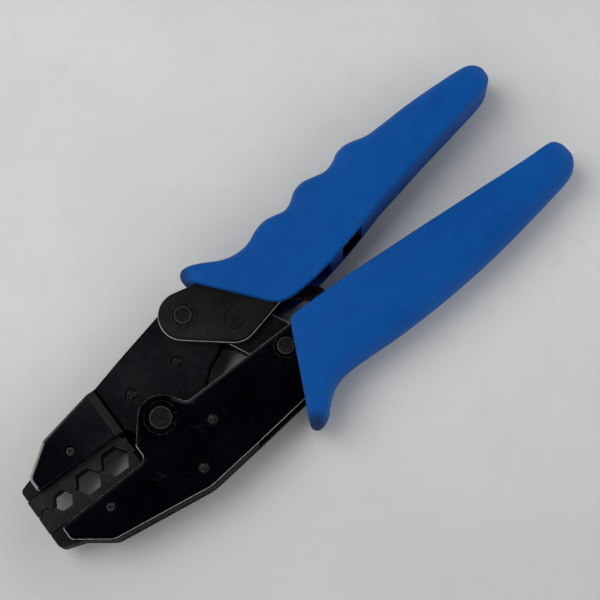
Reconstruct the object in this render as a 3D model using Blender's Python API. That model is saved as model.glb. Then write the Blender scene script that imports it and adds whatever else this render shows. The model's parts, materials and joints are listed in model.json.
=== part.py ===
"""Ratchet crimping tool with three hexagonal cavities.

Frame: origin on the main pivot's axis, in the plane of that pin's lower end face,
+X from the pivot towards the handles along the parting line of the dies, +Y
towards the moving jaw and the moving handle, +Z up through the thickness.  All
constants are millimetres, and heights in them are measured from the tool's
mid plane, which lies MID_Z above the origin.  "Upper" and "lower" jaws and dies
lie on +Y and -Y, "top" and "bottom" plates on +Z and -Z; the front is at -X.

Mechanism: a four-bar toggle.  The moving jaw turns on the fixed frame at
MAIN_PIVOT, the moving handle turns on the jaw at HANDLE_PIVOT, the toggle link
joins the handle at TOGGLE_PIVOT to the fixed frame at LINK_PIVOT.  A pawl in the
moving handle runs over a toothed sector that turns with the link.
"""
import math

import bmesh
import bpy
from mathutils import Vector
from mathutils.geometry import tessellate_polygon

MM = 0.001
MID_Z = 8.0              # mid plane above the foot of the main pivot pin

# ---------------------------------------------------------------- shared dimensions
PLATE_T = 2.5            # outer steel plates
Z_IN = 3.8               # inner face of the outer plates
Z_OUT = Z_IN + PLATE_T   # outer face of the outer plates
GAP = 0.3                # air between neighbouring pieces
CORE_Z = Z_IN - GAP      # half thickness of jaw cores, dies and handle spacers
CLEAR_Z = Z_OUT + GAP    # undersides of pin heads, faces of the grip cavities
PLATE_EDGE = 0.35        # broken edge of the stamped plates
CORE_EDGE = 0.3          # broken edge of the jaw cores

MAIN_PIVOT = (0.0, 0.0)
HANDLE_PIVOT = (27.2, 24.4)
TOGGLE_PIVOT = (40.6, 12.7)
LINK_PIVOT = (48.9, -6.1)
PAWL_PIVOT = (58.0, 13.0)

MAIN_PIN_R = 3.9
SMALL_PIN_R = 3.0        # pins at HANDLE_PIVOT and LINK_PIVOT
TOGGLE_PIN_R = 3.3
PAWL_PIN_R = 1.5
RIVET_R = 1.75           # domed rivets of frame and jaw
HANDLE_RIVET_R = 1.7
LINK_RIVET_R = 1.1
SPRING_POST_R = 0.9      # posts in the link and in the moving handle
SPRING_ANCHOR_R = 1.0

# Pairs of rivet places; handle rivets run front to rear
FRAME_REAR_RIVET, FRAME_FRONT_RIVET = (13.7, -11.2), (1.5, -22.8)
JAW_FRONT_RIVET, JAW_REAR_RIVET = (-3.3, 13.7), (16.05, 13.4)
FIXED_HANDLE_RIVETS = ((98.0, -9.8), (140.0, -10.8))
MOVING_HANDLE_RIVETS = ((98.0, 22.5), (140.0, 29.0))
LINK_RIVET = (43.9, 5.2)
SPRING_POST = (46.8, -1.3)
SPRING_ANCHOR = (86.0, -9.2)
PAWL_SPRING_POST = (62.5, 20.5)

TANG_END = 150.0         # rear end of the handle plates
CAVITY_END = TANG_END + 0.5

STEP_DEG = 15.0          # largest step along an arc
FILLET_STEP_DEG = STEP_DEG + 5
MERGE_DIST = 0.02        # closer outline points become one

# ---------------------------------------------------------------- finishes
STEEL = dict(colour=(0.018, 0.018, 0.020), roughness=0.42, metallic=0.85)
DIE = dict(colour=(0.030, 0.030, 0.032), roughness=0.50, metallic=0.80)
PIN = dict(colour=(0.022, 0.022, 0.024), roughness=0.38, metallic=0.90)
PLASTIC = dict(colour=(0.010, 0.085, 0.330), roughness=0.48, metallic=0.0)
SPRING = dict(colour=(0.20, 0.20, 0.21), roughness=0.35, metallic=1.0)


def material(name, colour, roughness, metallic):
    mat = bpy.data.materials.get(name) or bpy.data.materials.new(name)
    mat.use_nodes = True
    inputs = mat.node_tree.nodes["Principled BSDF"].inputs
    inputs["Base Color"].default_value = (*colour, 1.0)
    inputs["Roughness"].default_value = roughness
    inputs["Metallic"].default_value = metallic
    return mat


# ---------------------------------------------------------------- plane curves
def polar(centre, radius, angle):
    """Point at an angle in radians round a centre."""
    return (centre[0] + radius * math.cos(angle), centre[1] + radius * math.sin(angle))


def arc(centre, radius, start, end):
    """Points of an arc between two angles in degrees, in the order given."""
    n = max(2, int(math.ceil(abs(end - start) / STEP_DEG)))
    return [polar(centre, radius, math.radians(start + (end - start) * i / n))
            for i in range(n + 1)]


def circle(centre, radius, segments=24):
    return [polar(centre, radius, 2 * math.pi * i / segments) for i in range(segments)]


def bore(centre, pin_radius, segments=24):
    """Hole that leaves GAP of air round a pin."""
    return circle(centre, pin_radius + GAP, segments)


def fillet(before, corner, after, radius):
    """Points that round a corner between its two neighbours."""
    to_before = Vector((before[0] - corner[0], before[1] - corner[1])).normalized()
    to_after = Vector((after[0] - corner[0], after[1] - corner[1])).normalized()
    angle = to_before.angle(to_after)
    if radius <= 0 or math.pi - angle < 0.02:
        return [(corner[0], corner[1])]
    at = Vector(corner[:2])
    reach = radius / math.tan(angle / 2)
    centre = at + (to_before + to_after).normalized() * (radius / math.sin(angle / 2))
    start = at + to_before * reach - centre
    end = at + to_after * reach - centre
    first = math.atan2(start.y, start.x)
    swing = math.atan2(start.x * end.y - start.y * end.x, start.dot(end))
    n = max(1, int(math.ceil(math.degrees(abs(swing)) / FILLET_STEP_DEG)))
    return [polar(centre, radius, first + swing * i / n) for i in range(n + 1)]


def path(items):
    """Closed outline from corners (x, y, fillet radius) and ready-made lists of points."""
    points = []
    for i, item in enumerate(items):
        if isinstance(item, list):
            points += item
            continue
        before, after = items[i - 1], items[(i + 1) % len(items)]
        before = before[-1] if isinstance(before, list) else before
        after = after[0] if isinstance(after, list) else after
        points += fillet(before, item, after, item[2])
    clean = []
    for point in points:
        if not clean or math.dist(point, clean[-1]) > MERGE_DIST:
            clean.append(point)
    if math.dist(clean[0], clean[-1]) < MERGE_DIST:
        clean.pop()
    return clean


def area(loop):
    """Signed area, positive for an anticlockwise loop."""
    return 0.5 * sum(loop[i - 1][0] * p[1] - p[0] * loop[i - 1][1] for i, p in enumerate(loop))


def direction(start, end):
    """Angle in degrees of the line from start to end."""
    return math.degrees(math.atan2(end[1] - start[1], end[0] - start[0]))


def inset(loop, distance):
    """Move an outline inwards, to the left of its direction of travel."""
    moved = []
    for i in range(len(loop)):
        before, here, after = Vector(loop[i - 1]), Vector(loop[i]), Vector(loop[(i + 1) % len(loop)])
        edge_in, edge_out = (here - before).normalized(), (after - here).normalized()
        left_in, left_out = Vector((-edge_in.y, edge_in.x)), Vector((-edge_out.y, edge_out.x))
        mitre = 1.0 + left_in.dot(left_out)
        moved.append(tuple(here + (left_in + left_out) * (distance / max(mitre, 0.35))))
    return moved


# ---------------------------------------------------------------- objects
JOINTS = {}              # name: (empty, its place in the tool's frame)


def clear():
    for ob in list(bpy.data.objects):
        bpy.data.objects.remove(ob, do_unlink=True)


def joint_place(name):
    return JOINTS[name][1] if name else (0.0, 0.0)


def joint(name, at, parent=None):
    """Empty on a joint axis that carries the pieces of one moving body."""
    empty = bpy.data.objects.new(name, None)
    bpy.context.scene.collection.objects.link(empty)
    empty.empty_display_size = 0.01
    base = joint_place(parent)
    empty.location = ((at[0] - base[0]) * MM, (at[1] - base[1]) * MM, 0.0)
    if parent:
        empty.parent = JOINTS[parent][0]
    JOINTS[name] = (empty, at)


def shade(me, sharp_deg):
    me.shade_smooth()
    me.set_sharp_from_angle(angle=math.radians(sharp_deg))


def build(name, verts, faces, finish, parent=None, sharp_deg=None):
    """Object from millimetre coordinates, with its origin on its parent's axis."""
    base = joint_place(parent)
    me = bpy.data.meshes.new(name)
    me.from_pydata([((x - base[0]) * MM, (y - base[1]) * MM, (z + MID_Z) * MM)
                    for x, y, z in verts], [], faces)
    me.validate()
    me.update()
    ob = bpy.data.objects.new(name, me)
    bpy.context.scene.collection.objects.link(ob)
    if finish:
        me.materials.append(material(name + "_mat", **finish))
    if parent:
        ob.parent = JOINTS[parent][0]
    if sharp_deg:
        shade(me, sharp_deg)
    return ob


def cut(ob, cutter):
    """Leave a Boolean difference on a piece and hide its cutter."""
    cutter.hide_render = True
    cutter.display_type = "WIRE"
    modifier = ob.modifiers.new(cutter.name, "BOOLEAN")
    modifier.operation = "DIFFERENCE"
    modifier.solver = "EXACT"
    modifier.object = cutter


def prism_mesh(outer, holes, z0, z1, edge):
    """Vertices and faces of a flat piece; edge is (lower, upper) broken outer corner."""
    loops = [list(outer)] + [list(hole) for hole in holes]
    if area(loops[0]) < 0:
        loops[0].reverse()
    for hole in loops[1:]:
        if area(hole) > 0:
            hole.reverse()
    low_edge, high_edge = edge
    low = [inset(loops[0], low_edge)] + loops[1:] if low_edge else loops
    high = [inset(loops[0], high_edge)] + loops[1:] if high_edge else loops
    levels = [(z0, low)]
    if low_edge:
        levels.append((z0 + low_edge, loops))
    if high_edge:
        levels.append((z1 - high_edge, loops))
    levels.append((z1, high))

    verts, faces, rows = [], [], []
    for z, level in levels:
        rows.append(len(verts))
        verts += [(x, y, z) for loop in level for x, y in loop]
    for tri in tessellate_polygon([[Vector((x, y, 0)) for x, y in loop] for loop in high]):
        faces.append(tuple(rows[-1] + i for i in tri))
        faces.append(tuple(rows[0] + i for i in reversed(tri)))
    first = 0
    for number, loop in enumerate(loops):
        # holes run straight through; only the outer wall has edge levels
        pairs = list(zip(rows, rows[1:])) if number == 0 else [(rows[0], rows[-1])]
        for below, above in pairs:
            for i in range(len(loop)):
                a, b = first + i, first + (i + 1) % len(loop)
                faces.append((below + a, below + b, above + b, above + a))
        first += len(loop)
    return verts, faces


def prism(name, outer, z0, z1, finish=STEEL, holes=(), parent=None, edge=(0.0, 0.0), bend=None):
    """Flat piece with holes; bend is a function that reshapes its bmesh."""
    ob = build(name, *prism_mesh(outer, holes, z0, z1, edge), finish, parent)
    bm = bmesh.new()
    bm.from_mesh(ob.data)
    loose = [v for v in bm.verts if not v.link_faces]
    bmesh.ops.delete(bm, geom=loose, context="VERTS")
    for z in (z0, z1):
        caps = [f for f in bm.faces
                if all(abs(v.co.z / MM - MID_Z - z) < 1e-4 for v in f.verts)]
        inner = [e for e in {e for f in caps for e in f.edges}
                 if all(f in caps for f in e.link_faces)]
        bmesh.ops.beautify_fill(bm, faces=caps, edges=inner)
    bmesh.ops.recalc_face_normals(bm, faces=bm.faces)
    if bend:
        bend(bm)
    bm.normal_update()
    bm.to_mesh(ob.data)
    bm.free()
    return ob


def plate_pair(stem, outer, holes, parent=None, z_in=Z_IN, z_out=Z_OUT, edge=PLATE_EDGE, bend=None):
    """Mirrored plates above and below the mid plane, edges broken on their outward faces."""
    prism(stem + "_top", outer, z_in, z_out, STEEL, holes, parent, (0.0, edge), bend)
    prism(stem + "_bottom", outer, -z_out, -z_in, STEEL, holes, parent, (edge, 0.0), bend)


def lathe(name, centre, profile, parent=None, segments=24):
    """Round piece on a vertical axis; profile is (radius, z) from bottom to top."""
    verts, faces, rows = [], [], []
    for radius, z in profile:
        start = len(verts)
        if radius < 1e-6:
            verts.append((*centre, z))
        else:
            verts += [(x, y, z) for x, y in circle(centre, radius, segments)]
        rows.append(list(range(start, len(verts))))
    for below, above in zip(rows, rows[1:]):
        for i in range(segments):
            j = (i + 1) % segments
            if len(below) == 1:
                faces.append((below[0], above[j], above[i]))
            elif len(above) == 1:
                faces.append((below[i], below[j], above[0]))
            else:
                faces.append((below[i], below[j], above[j], above[i]))
    return build(name, verts, faces, PIN, parent, sharp_deg=35)


def plain_pin(name, at, half, radius, parent=None, segments=12):
    lathe(name, at, [(0, -half), (radius, -half), (radius, half), (0, half)], parent, segments)


def domed_rivet(name, at, half, dome, parent=None):
    shoulder_r, shoulder_h = RIVET_R * 0.55, dome * 0.85
    lathe(name, at, [
        (0, -half - dome), (shoulder_r, -half - shoulder_h), (RIVET_R, -half),
        (RIVET_R, half), (shoulder_r, half + shoulder_h), (0, half + dome),
    ], parent, segments=16)


def handle_rivets(stem, places, parent=None):
    for end, at in zip(("front", "rear"), places):
        plain_pin(f"{stem}_{end}", at, Z_OUT, HANDLE_RIVET_R, parent)


def handle_rivet_bores(places):
    return [bore(at, HANDLE_RIVET_R, 12) for at in places]


def sweep(name, points, wire_r, parent=None, segments=6):
    """Round wire along a list of points, with flat ends."""
    points = [Vector(p) for p in points]
    last = len(points) - 1
    tangents = [(points[min(i + 1, last)] - points[max(i - 1, 0)]).normalized()
                for i in range(len(points))]
    side = tangents[0].orthogonal().normalized()
    verts, faces = [], []
    for point, tangent in zip(points, tangents):
        side = (side - tangent * side.dot(tangent)).normalized()
        other = tangent.cross(side)
        for k in range(segments):
            a = 2 * math.pi * k / segments
            verts.append(tuple(point + side * (wire_r * math.cos(a))
                               + other * (wire_r * math.sin(a))))
    for i in range(last):
        for k in range(segments):
            a, b = i * segments + k, i * segments + (k + 1) % segments
            faces.append((a, b, b + segments, a + segments))
    faces.append(tuple(reversed(range(segments))))
    faces.append(tuple(range(last * segments, len(points) * segments)))
    build(name, verts, faces, SPRING, parent, sharp_deg=60)


# ---------------------------------------------------------------- pins with retaining rings
GROOVE_TOP = 7.05        # upper face of the ring grooves
RING_PLAY = 0.05         # air below and above a ring in its groove
TIP_INSET = 0.25         # radial size of the chamfer at the pin tips

# foot and tip are the end heights, bevel and tip_drop their chamfers, groove is
# the lower face of the ring groove, ring_bite how far the ring reaches into the
# pin; the ring's gap is centred on gap_at and spans gap degrees
MAIN_PIN = dict(
    radius=MAIN_PIN_R, head_r=5.4, foot=-MID_Z, bevel=(0.5, 0.5), groove=6.55, groove_depth=0.7,
    tip=7.55, tip_drop=0.25, ring_bite=0.45, ring_r=5.9, gap_at=-40.0, gap=44.0, segments=32)
SMALL_PIN = dict(
    radius=SMALL_PIN_R, head_r=4.4, foot=-7.6, bevel=(0.4, 0.3), groove=6.5, groove_depth=0.55,
    tip=7.7, tip_drop=0.2, ring_bite=0.3, ring_r=4.3, gap_at=60.0, gap=70.0, segments=24)


def ringed_pin(pin_name, ring_name, at, parent=None, *, radius, head_r, foot, bevel, groove,
               groove_depth, tip, tip_drop, ring_bite, ring_r, gap_at, gap, segments):
    """Headed pin from below with an open retaining ring in a groove at its top."""
    neck = radius - groove_depth
    lathe(pin_name, at, [
        (0, foot), (head_r - bevel[0], foot), (head_r, foot + bevel[1]), (head_r, -CLEAR_Z),
        (radius, -CLEAR_Z), (radius, groove), (neck, groove), (neck, GROOVE_TOP),
        (radius, GROOVE_TOP), (radius, tip - tip_drop), (radius - TIP_INSET, tip), (0, tip),
    ], parent, segments)
    start, end = gap_at + gap / 2, gap_at + 360 - gap / 2
    ring = arc(at, ring_r, start, end) + arc(at, radius - ring_bite, end, start)
    prism(ring_name, ring, groove + RING_PLAY, GROOVE_TOP - RING_PLAY, PIN, parent=parent)


# ---------------------------------------------------------------- dies and their screws
PART_Y = -1.7            # parting line of the dies
FACE_OFFSET = 0.15       # each die face from the parting line
DIE_X0, DIE_X1 = -53.15, -14.4
DIE_TOP, DIE_BOT = 4.8, -8.7
HEX = ((-43.0, 6.48), (-32.5, 8.23), (-21.3, 9.14))   # centre x, across flats
LIP = 0.55               # size of the broken lips of the cavities

SCREW_X, UPPER_SCREW_Y, LOWER_SCREW_Y = -31.3, 9.8, -14.0
DIE_SCREW_HOLE_R = 1.85
PLATE_SCREW_HOLE_R = 2.1
TONGUE_HALF = 5.0        # half width of the die tongues
UPPER_TONGUE_END, LOWER_TONGUE_END = 14.3, -19.0
POCKET_X0 = SCREW_X - TONGUE_HALF - GAP               # tongue pockets in the jaw cores
POCKET_X1 = SCREW_X + TONGUE_HALF + GAP

# (x, height towards +Y from the die face) of the ridge near the front end of the
# lower die and of the groove opposite it in the upper die
LOWER_RIDGE = ((-51.3, 0.0), (-50.7, 1.0), (-49.1, 1.0), (-48.5, 0.0))
UPPER_GROOVE = ((-51.8, 0.0), (-51.1, 1.15), (-48.7, 1.15), (-48.0, 0.0))


def die_outline(sign, step, back, tongue_end, heel_x):
    """Half of the split die: sign -1 below the parting line, +1 above it.

    step is the ridge or groove in the face, heel_x the rear corner of the back.
    """
    face = PART_Y + sign * FACE_OFFSET
    points = [(DIE_X0 + 0.3, face)] + [(x, face + rise) for x, rise in step]
    for x, flats in HEX:
        radius = flats / math.sqrt(3)
        mouth = radius - FACE_OFFSET / math.sqrt(3)   # half width of the hexagon at the face
        lip_y, floor_y = face + sign * LIP * 0.9, PART_Y + sign * flats / 2
        points += [
            (x - mouth - LIP * 1.1, face), (x - mouth + LIP * 0.35, lip_y),
            (x - radius / 2, floor_y), (x + radius / 2, floor_y),
            (x + mouth - LIP * 0.35, lip_y), (x + mouth + LIP * 1.1, face),
        ]
    return points + [
        (DIE_X1, face), (heel_x, back),
        (SCREW_X + TONGUE_HALF, back), (SCREW_X + TONGUE_HALF, tongue_end),
        (SCREW_X - TONGUE_HALF, tongue_end), (SCREW_X - TONGUE_HALF, back),
        (DIE_X0, back), (DIE_X0, face + sign * 0.3),
    ]


def lower_die():
    outline = die_outline(-1, LOWER_RIDGE, DIE_BOT, LOWER_TONGUE_END, DIE_X1)
    hole = circle((SCREW_X, LOWER_SCREW_Y), DIE_SCREW_HOLE_R, 14)
    prism("lower_die", outline, -CORE_Z, CORE_Z, DIE, [hole])


def upper_die():
    outline = die_outline(1, UPPER_GROOVE, DIE_TOP, UPPER_TONGUE_END, DIE_X1 - 0.7)
    hole = circle((SCREW_X, UPPER_SCREW_Y), DIE_SCREW_HOLE_R, 14)
    prism("upper_die", outline, -CORE_Z, CORE_Z, DIE, [hole], "jaw_axis")


def die_screw(name, at, parent=None):
    """Socket head screw entering from -Z, its tip standing in the top plate's hole."""
    head_z, head_r, shank_r, tip_z = -9.0, 2.8, 1.5, 5.6
    socket_r, socket_floor = 1.45, -7.6
    body = lathe(name, at, [
        (0, head_z), (head_r - 0.3, head_z), (head_r, head_z + 0.3), (head_r, -CLEAR_Z),
        (shank_r, -CLEAR_Z), (shank_r, tip_z - 0.4), (shank_r - 0.4, tip_z), (0, tip_z),
    ], parent, segments=18)
    cut(body, prism(name + "_socket_cutter", circle(at, socket_r, 6),
                    head_z - 0.5, socket_floor, None, parent=parent))


# ---------------------------------------------------------------- fixed frame
EAR_R = 8.2              # ear of the fixed plates round the main pivot
EAR_NOTCH = (-12.6, -2.6)             # corner from which the ear's tangent starts


def fixed_plates():
    touch = math.acos(EAR_R / math.dist(EAR_NOTCH, MAIN_PIVOT))
    ear_start = (direction(MAIN_PIVOT, EAR_NOTCH) - math.degrees(touch)) % 360.0
    outline = path([
        (-48.3, -9.5, 1.5), (-12.5, -8.5, 2.6), (*EAR_NOTCH, 2.0),
        arc(MAIN_PIVOT, EAR_R, ear_start, 34.0),
        (10.5, -0.7, 2.4), (55.0, -0.5, 0), (60.0, -1.2, 0), (88.0, -1.9, 0),
        (TANG_END, -6.6, 2.0), (TANG_END, -15.6, 2.0), (75.0, -18.6, 12.0), (60.0, -23.0, 8.0),
        (40.5, -25.0, 0), (20.0, -27.3, 0), (0.0, -29.3, 10.0), (-36.5, -23.8, 3.0),
        (-48.3, -14.9, 1.9),
    ])
    holes = [
        bore(MAIN_PIVOT, MAIN_PIN_R, 28), bore(LINK_PIVOT, SMALL_PIN_R),
        bore(FRAME_REAR_RIVET, RIVET_R, 14), bore(FRAME_FRONT_RIVET, RIVET_R, 14),
        circle((SCREW_X, LOWER_SCREW_Y), PLATE_SCREW_HOLE_R, 14),
        *handle_rivet_bores(FIXED_HANDLE_RIVETS), bore(SPRING_ANCHOR, SPRING_ANCHOR_R, 12),
    ]
    plate_pair("fixed_plate", outline, holes)


def fixed_jaw_core():
    """Core between the fixed plates, with a seat and a tongue pocket for the lower die."""
    seat = DIE_BOT - GAP
    pocket = LOWER_TONGUE_END - GAP
    heel = DIE_X1 + GAP
    outline = path([
        (DIE_X0, seat, 0.4), (POCKET_X0, seat, 0.3), (POCKET_X0, pocket, 0.8),
        (POCKET_X1, pocket, 0.8), (POCKET_X1, seat, 0.3), (heel, seat, 0), (heel, -2.9, 0.4),
        (-9.3, -2.9, 0.4), (-9.3, -9.9, 0.5), (9.2, -9.9, 0.8),
        (10.8, -7.9, 0.8), (18.0, -7.9, 2.0), (22.0, -14.0, 3.0), (22.0, -26.8, 1.5),
        (0.0, -29.1, 10.0), (-36.4, -23.6, 2.5), (-44.8, -17.7, 3.0), (DIE_X0, -14.7, 2.3),
    ])
    holes = [bore(FRAME_REAR_RIVET, RIVET_R, 14), bore(FRAME_FRONT_RIVET, RIVET_R, 14)]
    prism("fixed_jaw_core", outline, -CORE_Z, CORE_Z, STEEL, holes, edge=(0.0, CORE_EDGE))


def fixed_handle_spacer():
    outline = path([(92.0, -4.4, 1.5), (146.0, -8.2, 1.5), (146.0, -14.2, 1.5), (92.0, -15.6, 1.5)])
    prism("fixed_handle_spacer", outline, -CORE_Z, CORE_Z, STEEL,
          handle_rivet_bores(FIXED_HANDLE_RIVETS))


def fixed_rivets():
    domed_rivet("frame_rear_rivet", FRAME_REAR_RIVET, Z_OUT, dome=0.25)
    domed_rivet("frame_front_rivet", FRAME_FRONT_RIVET, Z_OUT, dome=0.25)
    handle_rivets("fixed_handle_rivet", FIXED_HANDLE_RIVETS)


# ---------------------------------------------------------------- return spring
HOOK_POINTS = 8
HOOK_SWEEP = 240.0       # degrees of each open hook
COIL_STEPS = 8           # points per turn


def tension_spring_points(start, end, hook_r, coil_r, coil_start, coil_end, turns):
    """Hook, straight leg, coil between two distances from the start, and hook."""
    along = Vector((end[0] - start[0], end[1] - start[1], 0)).normalized()
    side = Vector((-along.y, along.x, 0))
    up = Vector((0, 0, 1))
    start, end = Vector((*start, 0)), Vector((*end, 0))

    def hook(centre, first_deg):
        angles = [math.radians(first_deg - HOOK_SWEEP * k / (HOOK_POINTS - 1))
                  for k in range(HOOK_POINTS)]
        return [centre + along * (hook_r * math.cos(a)) + side * (hook_r * math.sin(a))
                for a in angles]

    points = hook(start, 300)
    leg_start, leg_end = points[-1], start + along * coil_start
    points += [leg_start + (leg_end - leg_start) * (k / 3) for k in (1, 2)]
    n = turns * COIL_STEPS
    for k in range(n + 1):
        a = 2 * math.pi * k / COIL_STEPS
        radius = coil_r * min(1.0, k / 4, (n - k) / 4)   # grows and shrinks over half a turn
        points.append(start + along * (coil_start + (coil_end - coil_start) * k / n)
                      + side * (radius * math.cos(a)) + up * (radius * math.sin(a)))
    end_hook = hook(end, 240)
    points.append(points[-1] + (end_hook[0] - points[-1]) * 0.5)
    return points + end_hook


def return_spring():
    points = tension_spring_points(SPRING_POST, SPRING_ANCHOR, hook_r=1.65, coil_r=2.1,
                                   coil_start=14.5, coil_end=34.5, turns=10)
    sweep("return_spring", points, wire_r=0.4, segments=5)
    plain_pin("spring_anchor_pin", SPRING_ANCHOR, Z_OUT, SPRING_ANCHOR_R)


# ---------------------------------------------------------------- grips
GRIP_H = 9.5             # half thickness of the grips
MOUTH_INSETS = (0.9, 0.2)             # section inset at the first two stations
OUTER_ANGLES = (0.0, 20, 38, 55, 72)  # degrees along the rounded outer side
OUTER_POWER = 0.80       # below 1 the outer side is fuller than an ellipse

# Stations from the mouth to the rear: outer x, outer y, inner x, inner y
MOVING_STATIONS = [
    (34.9, 34.2, 54.2, 9.7), (34.4, 35.4, 55.2, 8.7), (34.8, 37.5, 56.4, 7.8),
    (36.4, 38.8, 58.0, 7.1), (39.5, 38.4, 60.4, 6.6), (43.5, 36.5, 63.2, 6.4),
    (48.0, 33.9, 66.5, 6.5), (52.5, 32.3, 70.0, 6.8), (57.5, 32.0, 73.5, 7.2),
    (61.5, 32.8, 76.5, 7.7), (65.5, 34.6, 79.3, 8.2), (70.0, 35.6, 82.5, 8.8),
    (74.0, 35.0, 85.5, 9.4), (78.0, 34.2, 88.3, 10.0), (81.6, 35.4, 91.0, 10.6),
    (85.3, 37.9, 93.7, 11.3), (89.3, 38.8, 96.7, 12.1), (93.5, 38.0, 99.8, 13.0),
    (98.0, 37.1, 103.2, 13.9), (102.0, 37.9, 106.2, 14.7), (106.0, 40.0, 109.2, 15.3),
    (109.6, 40.6, 112.0, 15.9), (113.3, 39.9, 115.2, 16.5), (118.0, 38.7, 119.4, 17.3),
    (125.0, 38.6, 126.0, 18.7), (133.0, 38.9, 133.6, 20.1), (142.0, 38.9, 142.4, 21.6),
    (151.0, 38.5, 151.2, 23.2), (158.0, 38.1, 158.2, 24.5), (162.3, 37.5, 162.3, 25.6),
    (165.0, 36.1, 164.8, 27.0), (166.8, 33.9, 166.6, 29.1),
]
FIXED_STATIONS = [
    (39.8, -31.2, 54.7, -1.3), (39.2, -32.4, 55.5, -0.2), (39.6, -34.1, 56.6, 0.6),
    (41.0, -35.2, 58.2, 0.9), (43.4, -35.0, 60.2, 1.0), (46.2, -33.6, 62.6, 1.0),
    (49.0, -30.9, 65.0, 0.9), (52.0, -28.4, 67.5, 0.9), (55.2, -26.6, 70.2, 0.85),
    (58.8, -25.6, 73.2, 0.8), (63.5, -25.25, 77.0, 0.7), (71.0, -25.5, 83.0, 0.45),
    (81.0, -26.0, 90.5, 0.0), (92.0, -26.1, 99.0, -0.5), (103.0, -25.85, 108.0, -1.05),
    (114.0, -25.2, 117.2, -1.65), (125.0, -24.25, 127.0, -2.35), (136.0, -22.9, 137.2, -3.05),
    (147.0, -21.25, 147.6, -3.85), (157.0, -19.6, 157.3, -4.4), (163.5, -18.5, 163.6, -4.5),
    (167.6, -17.2, 167.6, -4.8), (170.2, -15.0, 170.0, -6.4), (171.5, -12.8, 171.4, -8.3),
]
# Half thickness at the last stations; it is GRIP_H at all others
MOVING_END_HEIGHTS = (9.4, 9.2, 8.6, 7.2, 4.6)
FIXED_END_HEIGHTS = (9.3, 8.9, 8.0, 6.2, 3.6)
MOVING_TIP = (167.5, 31.4)
FIXED_TIP = (172.0, -10.5)


def section(outer, inner, height, shrink):
    """Upright section between an inner wall point and a rounded outer point.

    The inner side is a flat wall with a small corner radius, the upper and lower faces
    are flat, the outer side is fully round.  shrink insets the section for broken edges.
    """
    outer, inner = Vector(outer), Vector(inner)
    width = (outer - inner).length
    across = (outer - inner) / width
    corner = min(1.6, 0.25 * width, 0.4 * height)
    bulge = min(9.0, 0.42 * width)
    diagonal = math.radians(45)
    half = [
        (0.0, 0.0), (0.0, height - corner),
        (corner * (1 - math.cos(diagonal)), height - corner + corner * math.sin(diagonal)),
        (corner, height),
    ]
    half += [(width - bulge + bulge * math.sin(math.radians(a)),
              height * math.cos(math.radians(a)) ** OUTER_POWER) for a in OUTER_ANGLES]
    ring = half + [(width, 0.0)] + [(u, -z) for u, z in reversed(half[1:])]
    points = []
    for u, z in ring:
        point = inner + across * (shrink + u * (width - 2 * shrink) / width)
        points.append((point.x, point.y, z * (height - shrink) / height))
    return points


def grip(name, stations, end_heights, tip, parent=None):
    """Loft over stations, closed at a tip."""
    heights = [GRIP_H] * (len(stations) - len(end_heights)) + list(end_heights)
    insets = list(MOUTH_INSETS) + [0] * (len(stations) - len(MOUTH_INSETS))
    rings = [section(station[:2], station[2:], height, shrink)
             for station, height, shrink in zip(stations, heights, insets)]
    n = len(rings[0])
    verts = [point for ring in rings for point in ring] + [(*tip, 0.0)]
    last = (len(rings) - 1) * n
    faces = [(row + i, row + (i + 1) % n, row + n + (i + 1) % n, row + n + i)
             for row in range(0, last, n) for i in range(n)]
    faces.append(tuple(reversed(range(n))))
    faces += [(last + i, last + (i + 1) % n, len(verts) - 1) for i in range(n)]
    ob = build(name, verts, faces, PLASTIC, parent)
    bm = bmesh.new()
    bm.from_mesh(ob.data)
    bmesh.ops.recalc_face_normals(bm, faces=bm.faces)
    bm.to_mesh(ob.data)
    bm.free()
    shade(ob.data, 40)
    return ob


def fixed_grip():
    body = grip("fixed_grip", FIXED_STATIONS, FIXED_END_HEIGHTS, FIXED_TIP)
    cavity = path([
        (34.0, 2.0, 0), (53.0, 0.3, 0), (60.0, -0.8, 0), (88.0, -1.5, 0),
        (CAVITY_END, -6.2, 2.0), (CAVITY_END, -16.0, 2.0), (75.0, -19.0, 12.0),
        (60.0, -23.4, 8.0), (34.0, -26.2, 0),
    ])
    slot = [(45, -6), (60.8, -6), (60.8, 6), (45, 6)]
    for feature, outline, half in (
            ("cavity", cavity, CLEAR_Z),
            ("link_slot", slot, 4.0),
            ("pin_relief", circle(LINK_PIVOT, 5.0, 20), 8.1)):
        cut(body, prism(f"fixed_grip_{feature}_cutter", outline, -half, half, None))


def moving_grip():
    parent = "handle_axis"
    body = grip("moving_grip", MOVING_STATIONS, MOVING_END_HEIGHTS, MOVING_TIP, parent)
    cavity = path([
        (30.0, 32.6, 0), (47.0, 29.1, 10.0), (60.0, 28.2, 10.0), (100.0, 31.0, 10.0),
        (CAVITY_END, 34.5, 2.0), (CAVITY_END, 26.0, 2.0), (80.0, 10.8, 8.0), (56.0, 6.8, 0),
        (30.0, 2.0, 0),
    ])
    slot = [(40, 0), (79.5, 0), (79.5, 14), (40, 14)]
    notch = [(84, 4), (96, 6), (96, 15.2), (84, 13.0)]
    for feature, outline, z0, z1 in (
            ("cavity", cavity, -CLEAR_Z, CLEAR_Z),
            ("slot", slot, -CLEAR_Z, CLEAR_Z),
            ("notch", notch, -12.0, 7.6)):
        cut(body, prism(f"moving_grip_{feature}_cutter", outline, z0, z1, None, parent=parent))


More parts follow.
